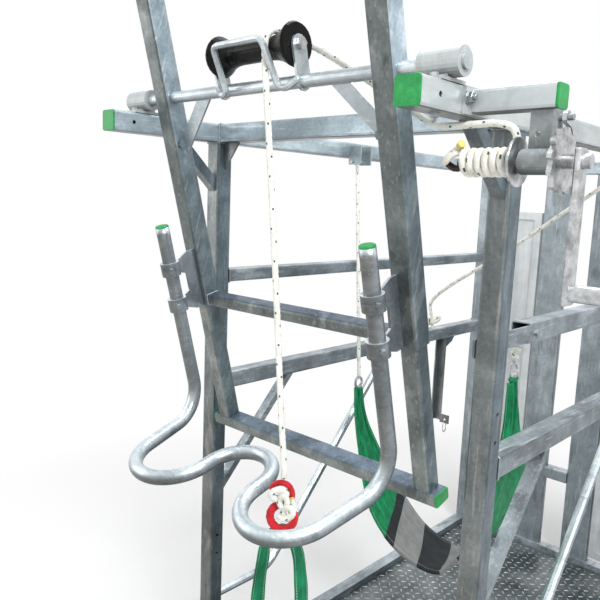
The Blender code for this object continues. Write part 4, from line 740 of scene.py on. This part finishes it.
bolt("arm_bolt", (0.4712, -0.2222, 1.7270), EAST, (0.0120, 0.003), (0.0098, 0.008), (0.0050, 0.005))
for spot, word in (((0.440, -0.2740, 1.6980), "rear"), ((0.440, -0.1655, 1.6980), "front")):
    bolt("sleeve_bolt_" + word, spot, (0, 0, -1), (0.0100, 0.002), (0.0080, 0.006), (0.0040, 0.006))

# Bright small steel: turned, zinc-plated winch parts, axle and rings, smoother and less mottled
# than the dipped tube. The drum's horn is bare dark iron.
bright, bright_shader = blank("bright_steel", metallic=0.95)
place = object_place(bright)
turned_marks = noised(bright, mapped(bright, place, Scale=(900.0, 40.0, 40.0)), 1.0, 4.0)
steel = ramp(bright, noised(bright, place, 45.0, 6.0, 0.65),
             ((0.35, (0.26, 0.26, 0.26)), (0.52, (0.50, 0.51, 0.52)), (0.68, (0.70, 0.71, 0.72))))
coloured(bright, bright_shader, steel, ranged(bright, turned_marks, 0.24, 0.46))
bumped(bright, bright_shader, turned_marks, 0.12, 0.0005)
drum_finish = bright.copy()
drum_finish.name = "drum_steel"
drum_shader = drum_finish.node_tree.nodes["Principled BSDF"]
lengthways = add_node(drum_finish, "ShaderNodeSeparateXYZ", object_place(drum_finish))
plated = drum_shader.inputs["Base Color"].links[0].from_socket
horn_share = ranged(drum_finish, lengthways.outputs["X"], 1.0, 0.0, 0.466, 0.472)
wire(drum_finish, mixed(drum_finish, horn_share, plated, (0.050, 0.040, 0.038)),
     drum_shader.inputs["Base Color"])
clothe(drum_finish, "winch_drum")
clothe(bright, "roller_axle", "winch_pawl", "winch_crank", "belt_ring_left", "belt_ring_right",
       "holder_loop")

# Head gate leaves: pale matt zinc sheet in a rim, cloudy and lightly rain-streaked. They stand in
# the neck frame at the crate's front end.
sheet, sheet_shader = blank("pale_sheet", metallic=0.35)
place = object_place(sheet)
wash = noised(sheet, mapped(sheet, place, Scale=(7.0, 7.0, 0.8)), 3.0, 6.0, 0.6)
haze = noised(sheet, place, 16.0, 7.0, 0.65)
tint = mixed(sheet, 0.5, ramp(sheet, wash, ((0.35, (0.42, 0.45, 0.46)), (0.65, (0.70, 0.72, 0.73)))),
             ramp(sheet, haze, ((0.35, (0.50, 0.53, 0.54)), (0.65, (0.72, 0.74, 0.75)))))
coloured(sheet, sheet_shader, tint, ranged(sheet, haze, 0.42, 0.62))
bumped(sheet, sheet_shader, haze, 0.10, 0.002)
clothe(sheet, "gate_leaf_left", "gate_leaf_right")

# Push-in plugs: bright green injection-moulded plastic, satin with a fine spark texture. They
# close the open ends of the tubes and pipes.
plug, plug_shader = blank("green_plug")
place = object_place(plug)
scuff = noised(plug, place, 60.0, 6.0, 0.7)
green = ramp(plug, scuff, ((0.32, (0.004, 0.190, 0.045)), (0.55, (0.004, 0.300, 0.060)),
                           (0.74, (0.030, 0.380, 0.100))))
coloured(plug, plug_shader, green, ranged(plug, scuff, 0.30, 0.50, 0.3, 0.7))
bumped(plug, plug_shader, noised(plug, place, 700.0, 3.0), 0.14, 0.0006)
clothe(plug, "rail_cap_left", "rail_cap_right", "winch_arm_cap", "rest_plug_left", "rest_plug_right",
       "lower_cap_left", "lower_cap_right")

# Rope roller: turned black rubber, glossy on its flanges and polished by the rope at its waist.
# It turns on a bright axle between the roller bracket's cheeks.
rubber, rubber_shader = blank("black_rubber")
place = object_place(rubber)
dust = noised(rubber, place, 38.0, 7.0, 0.7)
coloured(rubber, rubber_shader,
         ramp(rubber, dust, ((0.50, (0.0025, 0.0025, 0.003)), (0.80, (0.014, 0.014, 0.014)))),
         ranged(rubber, dust, 0.22, 0.40, 0.35, 0.75))
rubber_shader.inputs["Specular IOR Level"].default_value = 0.14
lathe = noised(rubber, mapped(rubber, place, Scale=(420.0, 6.0, 6.0)), 1.0, 3.0)
bumped(rubber, rubber_shader, lathe, 0.08, 0.0003)
clothe(rubber, "guide_roller")

# Floor: steel tread plate on the ground frame, wet-dark between its raised lozenges, which hooves
# have worn bright.
tread, tread_shader = blank("tread_steel", metallic=0.80)
place = object_place(tread)
wet = noised(tread, place, 6.0, 8.0, 0.65)
plate = ramp(tread, wet, ((0.35, (0.070, 0.088, 0.092)), (0.52, (0.170, 0.195, 0.200)),
                          (0.70, (0.330, 0.350, 0.350))))
coloured(tread, tread_shader, plate, ranged(tread, wet, 0.20, 0.50, 0.35, 0.65))
bumped(tread, tread_shader, noised(tread, place, 160.0, 5.0, 0.7), 0.25, 0.0008)
clothe(tread, "floor_plate")
worn_tread, worn_shader = blank("tread_lozenge", metallic=0.90)
rub = noised(worn_tread, object_place(worn_tread), 34.0, 6.0, 0.65)
coloured(worn_tread, worn_shader,
         ramp(worn_tread, rub, ((0.34, (0.20, 0.23, 0.23)), (0.60, (0.58, 0.60, 0.60)))),
         ranged(worn_tread, rub, 0.45, 0.22))
LOZENGE_PITCH = 0.0290
LOZENGE_EDGE = 0.014
LOZENGE = (0.0115, 0.0034, 0.0013)
floor_low, floor_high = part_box("floor_plate")
bm = bmesh.new()
bmesh.ops.create_cone(bm, cap_ends=True, cap_tris=False, segments=8, radius1=1.0, radius2=0.55, depth=1.0)
bmesh.ops.scale(bm, vec=LOZENGE, verts=bm.verts)
bmesh.ops.delete(bm, geom=[f for f in bm.faces if f.normal.z < -0.9], context="FACES_ONLY")
pattern = meshed("lozenge", bm)
bm = bmesh.new()
rows = int((floor_high.y - floor_low.y - 0.02) / LOZENGE_PITCH)
columns = int((floor_high.x - floor_low.x - 0.02) / LOZENGE_PITCH)
for row in range(rows + 1):
    for column in range(columns + 1):
        start = len(bm.verts)
        bm.from_mesh(pattern)
        bm.verts.ensure_lookup_table()
        fresh = bm.verts[start:]
        crossing = math.radians(45 if (row + column) % 2 else -45)
        bmesh.ops.rotate(bm, cent=(0, 0, 0), matrix=Matrix.Rotation(crossing, 3, "Z"), verts=fresh)
        bmesh.ops.translate(bm, verts=fresh, vec=(floor_low.x + LOZENGE_EDGE + column * LOZENGE_PITCH,
                                                  floor_low.y + LOZENGE_EDGE + row * LOZENGE_PITCH,
                                                  floor_high.z + LOZENGE[2] / 2 - 0.0001))
settled(linked("tread_lozenges", meshed("tread_lozenges", bm), worn_tread), "crate")

# Leg strap: a loop of 35 mm green nylon webbing under the knot, stitched along both edges and
# creased where the knot's red grommet pinches it.
STRAP_TURN = math.radians(20)
STRAP_STEPS = 96
STRAP_WIDE = 0.035
STRAP_HANG = 0.108
STRAP_DROP = 0.440
STRAP_RUN = 0.0102
ACROSS = 6
strap_top = KNOT_TOP - Vector((0, 0, STRAP_HANG + 3 * GAP))


def webbing(name, light, dark, glow, across, along, half, inset):
    # Weave on the piece's own UV map, u across and v along, both in metres; glow is a painted
    # sheen laid over the weave in streaky patches, and a pale stitch line runs inset from each edge
    finish, shader = blank(name, roughness=0.62)
    uv = add_node(finish, "ShaderNodeUVMap", uv_map="cloth").outputs["UV"]
    ribs = add_node(finish, "ShaderNodeTexWave", uv, Scale=along, bands_direction="Y", Distortion=0.8)
    warp = add_node(finish, "ShaderNodeTexWave", uv, Scale=across, bands_direction="X", Distortion=0.5)
    fade = noised(finish, uv, 24.0, 6.0, 0.65)
    # Streaky patches where the painted sheen colour (glow) is laid over the webbing
    sheen_patches = noised(finish, mapped(finish, uv, Scale=(90.0, 9.0, 1.0)), 1.0, 4.0)
    tone = ramp(finish, fade, ((0.34, dark), (0.64, light)))
    lit = ramp(finish, sheen_patches, ((0.52, (0, 0, 0)), (0.66, (0.55, 0.55, 0.55))))
    tone = mixed(finish, lit, tone, glow)
    tone = mixed(finish, ranged(finish, ribs.outputs["Fac"], 0.0, 0.30), tone, tuple(c * 0.4 for c in dark))
    parts = add_node(finish, "ShaderNodeSeparateXYZ", uv)
    aside = calc(finish, "ABSOLUTE", parts.outputs["X"])
    edge = calc(finish, "ABSOLUTE", calc(finish, "SUBTRACT", aside, half - inset))
    dash = calc(finish, "FRACT", calc(finish, "DIVIDE", parts.outputs["Y"], 0.0050))
    sewn = calc(finish, "MULTIPLY", ranged(finish, edge, 1.0, 0.0, 0.0005, 0.0011),
                ranged(finish, dash, 1.0, 0.0, 0.62, 0.72))
    tone = mixed(finish, sewn, tone, tuple(0.5 * c + 0.28 for c in glow))
    shape = mixed(finish, 0.5, ribs.outputs["Fac"], warp.outputs["Fac"])
    wire(finish, tone, shader.inputs["Base Color"])
    bumped(finish, shader, shape, 0.45, 0.0006)
    shader.inputs["Specular IOR Level"].default_value = 0.3
    return finish


strap_green = webbing("strap_green", (0.003, 0.270, 0.110), (0.001, 0.110, 0.050), (0.010, 0.430, 0.190),
                      190.0, 120.0, STRAP_WIDE / 2, 0.0035)
bm = bmesh.new()
loop = []
for step in range(STRAP_STEPS):
    swing = 2 * math.pi * step / STRAP_STEPS
    depth = (1 - math.cos(swing)) / 2
    bulge = math.copysign(abs(math.sin(swing)) ** 0.6, math.sin(swing))
    loop.append(bm.verts.new(((0.048 + 0.010 * depth) * bulge, -STRAP_WIDE / 2, -STRAP_DROP * depth)))
edges = [bm.edges.new((loop[i], loop[(i + 1) % STRAP_STEPS])) for i in range(STRAP_STEPS)]
for stripe in range(ACROSS):
    grown = bmesh.ops.extrude_edge_only(bm, edges=edges)["geom"]
    edges = [e for e in grown if isinstance(e, bmesh.types.BMEdge)]
    bmesh.ops.translate(bm, vec=(0, STRAP_WIDE / ACROSS, 0),
                        verts=[v for v in grown if isinstance(v, bmesh.types.BMVert)])
bm.verts.ensure_lookup_table()
for vert in bm.verts:
    depth = -vert.co.z / STRAP_DROP
    side = 1.0 if vert.co.x > 0 else -1.0
    lean = 0.42 * math.sin(math.pi * min(1.0, depth * 1.15)) * vert.co.y
    cup = 0.0022 * math.cos(math.pi * vert.co.y / STRAP_WIDE)
    crease = 0.0040 * max(0.0, 1.0 - depth / 0.30) * math.sin(190.0 * vert.co.y + 26.0 * depth + side)
    wave = 0.0022 * noise.noise(Vector((vert.co.y * 40.0, depth * 9.0, side * 3.0)))
    vert.co.x += lean + side * cup + crease + wave
uv_layer = bm.loops.layers.uv.new("cloth")
for face in bm.faces:
    steps = [(l, l.vert.index % STRAP_STEPS, l.vert.index // STRAP_STEPS) for l in face.loops]
    wrap = max(s[1] for s in steps) - min(s[1] for s in steps) > STRAP_STEPS / 2
    for corner, place, stripe in steps:
        run = place + STRAP_STEPS if wrap and place == 0 else place
        corner[uv_layer].uv = (STRAP_WIDE * (stripe / ACROSS - 0.5), STRAP_RUN * run)
bmesh.ops.rotate(bm, cent=(0, 0, 0), matrix=Matrix.Rotation(STRAP_TURN, 3, "Z"), verts=bm.verts)
bmesh.ops.translate(bm, vec=strap_top, verts=bm.verts)
strap_area = sum(face.calc_area() for face in bm.faces)
strap_mesh = meshed("leg_strap_loop", bm)
strap_mesh.shade_smooth()
leg_strap = linked("leg_strap_loop", strap_mesh, strap_green)
thick = leg_strap.modifiers.new("thickness", "SOLIDIFY")
thick.thickness = 0.003
thick.offset = 0.0
settled(leg_strap, "gantry", "leg_strap")

# Belly belt: a padded grey belt with black bands, its green webbing ends gathered into the rings.
# It sags across the crate, and its right end hangs higher and further back than its left.
BELT_ROUTE = [(-0.346, 0.580, 0.890), (-0.334, 0.580, 0.800), (-0.290, 0.580, 0.690), (-0.205, 0.577, 0.540),
              (-0.120, 0.570, 0.460), (-0.010, 0.560, 0.420), (0.100, 0.540, 0.438), (0.200, 0.500, 0.550),
              (0.290, 0.450, 0.735), (0.335, 0.360, 0.920), (0.366, 0.276, 1.130)]
BELT_LONG = 150
BELT_ACROSS = 24
BELT_WIDE = 0.2
BELT_END = 0.040
belt_line = evened(BELT_ROUTE, 0.010)
belt_reach = length_of(belt_line)
bm = bmesh.new()
bmesh.ops.create_grid(bm, x_segments=BELT_LONG, y_segments=BELT_ACROSS, size=0.5)
uv_layer = bm.loops.layers.uv.new("cloth")
for face in bm.faces:
    for corner in face.loops:
        corner[uv_layer].uv = (corner.vert.co.y * BELT_WIDE, (corner.vert.co.x + 0.5) * belt_reach)
for vert in bm.verts:
    along = min(max(vert.co.x + 0.5, 0.0), 1.0)
    across = vert.co.y * 2
    middle = min(1.0, min(along, 1.0 - along) / 0.20)
    along -= 0.045 * across * middle * middle * (3 - 2 * middle)
    place = along * (len(belt_line) - 1)
    index = min(int(place), len(belt_line) - 2)
    spot = belt_line[index].lerp(belt_line[index + 1], place - index)
    ahead = (belt_line[index + 1] - belt_line[index]).normalized()
    side = (Vector((0, 1, 0)) - ahead * ahead.y).normalized()
    out = ahead.cross(side)
    spread = min(1.0, min(along, 1.0 - along) / 0.30)
    spread = spread * spread * (3 - 2 * spread)
    half = (BELT_END + (BELT_WIDE - BELT_END) * spread) / 2
    fold = 0.010 * math.sin(math.pi * min(along, 1 - along) / 0.30) if spread < 1.0 else 0.0
    gather = 0.0065 * (1.0 - spread) * math.sin(7.0 * across + 9.0 * along)
    ripple = 0.0016 * noise.noise(Vector((along * 26.0, across * 2.5, 3.0)))
    hem = 0.0010 if abs(across) > 0.88 else 0.0
    fold *= math.cos(math.pi * 1.5 * across)
    vert.co = spot + side * half * across + out * (fold + gather + ripple + hem)
belt_area = sum(face.calc_area() for face in bm.faces)
belt_mesh = meshed("belly_belt_cloth", bm)
belt_mesh.shade_smooth()
belt_green = webbing("belt_green", (0.002, 0.290, 0.105), (0.001, 0.120, 0.045), (0.016, 0.500, 0.200),
                     130.0, 105.0, BELT_WIDE / 2, 0.008)
belt_grey = webbing("belt_grey", (0.330, 0.333, 0.335), (0.230, 0.233, 0.235), (0.370, 0.373, 0.375),
                    240.0, 240.0, BELT_WIDE / 2, 0.008)
belt_black = webbing("belt_black", (0.018, 0.024, 0.027), (0.007, 0.010, 0.012), (0.030, 0.040, 0.044),
                     150.0, 150.0, BELT_WIDE / 2, 0.008)
belt = linked("belly_belt_cloth", belt_mesh, belt_green, belt_grey, belt_black)
# Green ends, then black, grey, black, grey and black across the sag, each seam a little aslant.
# Each pair is a share of the length at which a colour ends, and that colour's place in the list.
SEAMS = ((0.2875, 0), (0.313, 2), (0.385, 1), (0.462, 2), (0.535, 1), (0.560, 2), (2.0, 0))
padding = belt.vertex_groups.new(name="padding")
for face in belt_mesh.polygons:
    row = (face.index % BELT_LONG + 0.5) / BELT_LONG
    face.material_index = next(colour for end, colour in SEAMS if row < end)
    if SEAMS[0][0] < row < SEAMS[-2][0]:
        padding.add(list(face.vertices), 1.0, "REPLACE")
thick = belt.modifiers.new("thickness", "SOLIDIFY")
thick.thickness = 0.010
thick.offset = 0.0
thick.vertex_group = "padding"
thick.thickness_vertex_group = 0.4
# Each end is gathered round its ring in a sewn roll of the webbing
ROLL_R = 0.0068
ROLL_STEP = 0.0018
for word, middle in (("left", (-0.346, 0.580, 0.8905)), ("right", (0.366, 0.276, 1.1305))):
    line = [Vector(middle) + Vector((0.0, ROLL_STEP * step, 0.00005 * step ** 2)) for step in range(-10, 11)]
    roll_mesh = tube_along("belt_roll_" + word, line, ROLL_R, 24)
    ring = len(roll_mesh.vertices) // len(line)
    for vert in roll_mesh.vertices:
        step, turn = divmod(vert.index, ring)
        crease = 1.0 + 0.10 * math.sin(step * 1.9 + turn * 0.5) - 0.30 * (abs(step - 10) / 10) ** 6
        vert.co = line[step] + (vert.co - line[step]) * crease
    roll_uv = roll_mesh.uv_layers.new(name="cloth")
    for corner in roll_mesh.loops:
        step, turn = divmod(corner.vertex_index, ring)
        roll_uv.data[corner.index].uv = (0.05 * math.sin(2 * math.pi * turn / ring), ROLL_STEP * step)
    capped(roll_mesh)
    roll_mesh.shade_smooth()
    settled(linked("belt_roll_" + word, roll_mesh, belt_green), "crate")
settled(belt, "crate", "belly_belt")
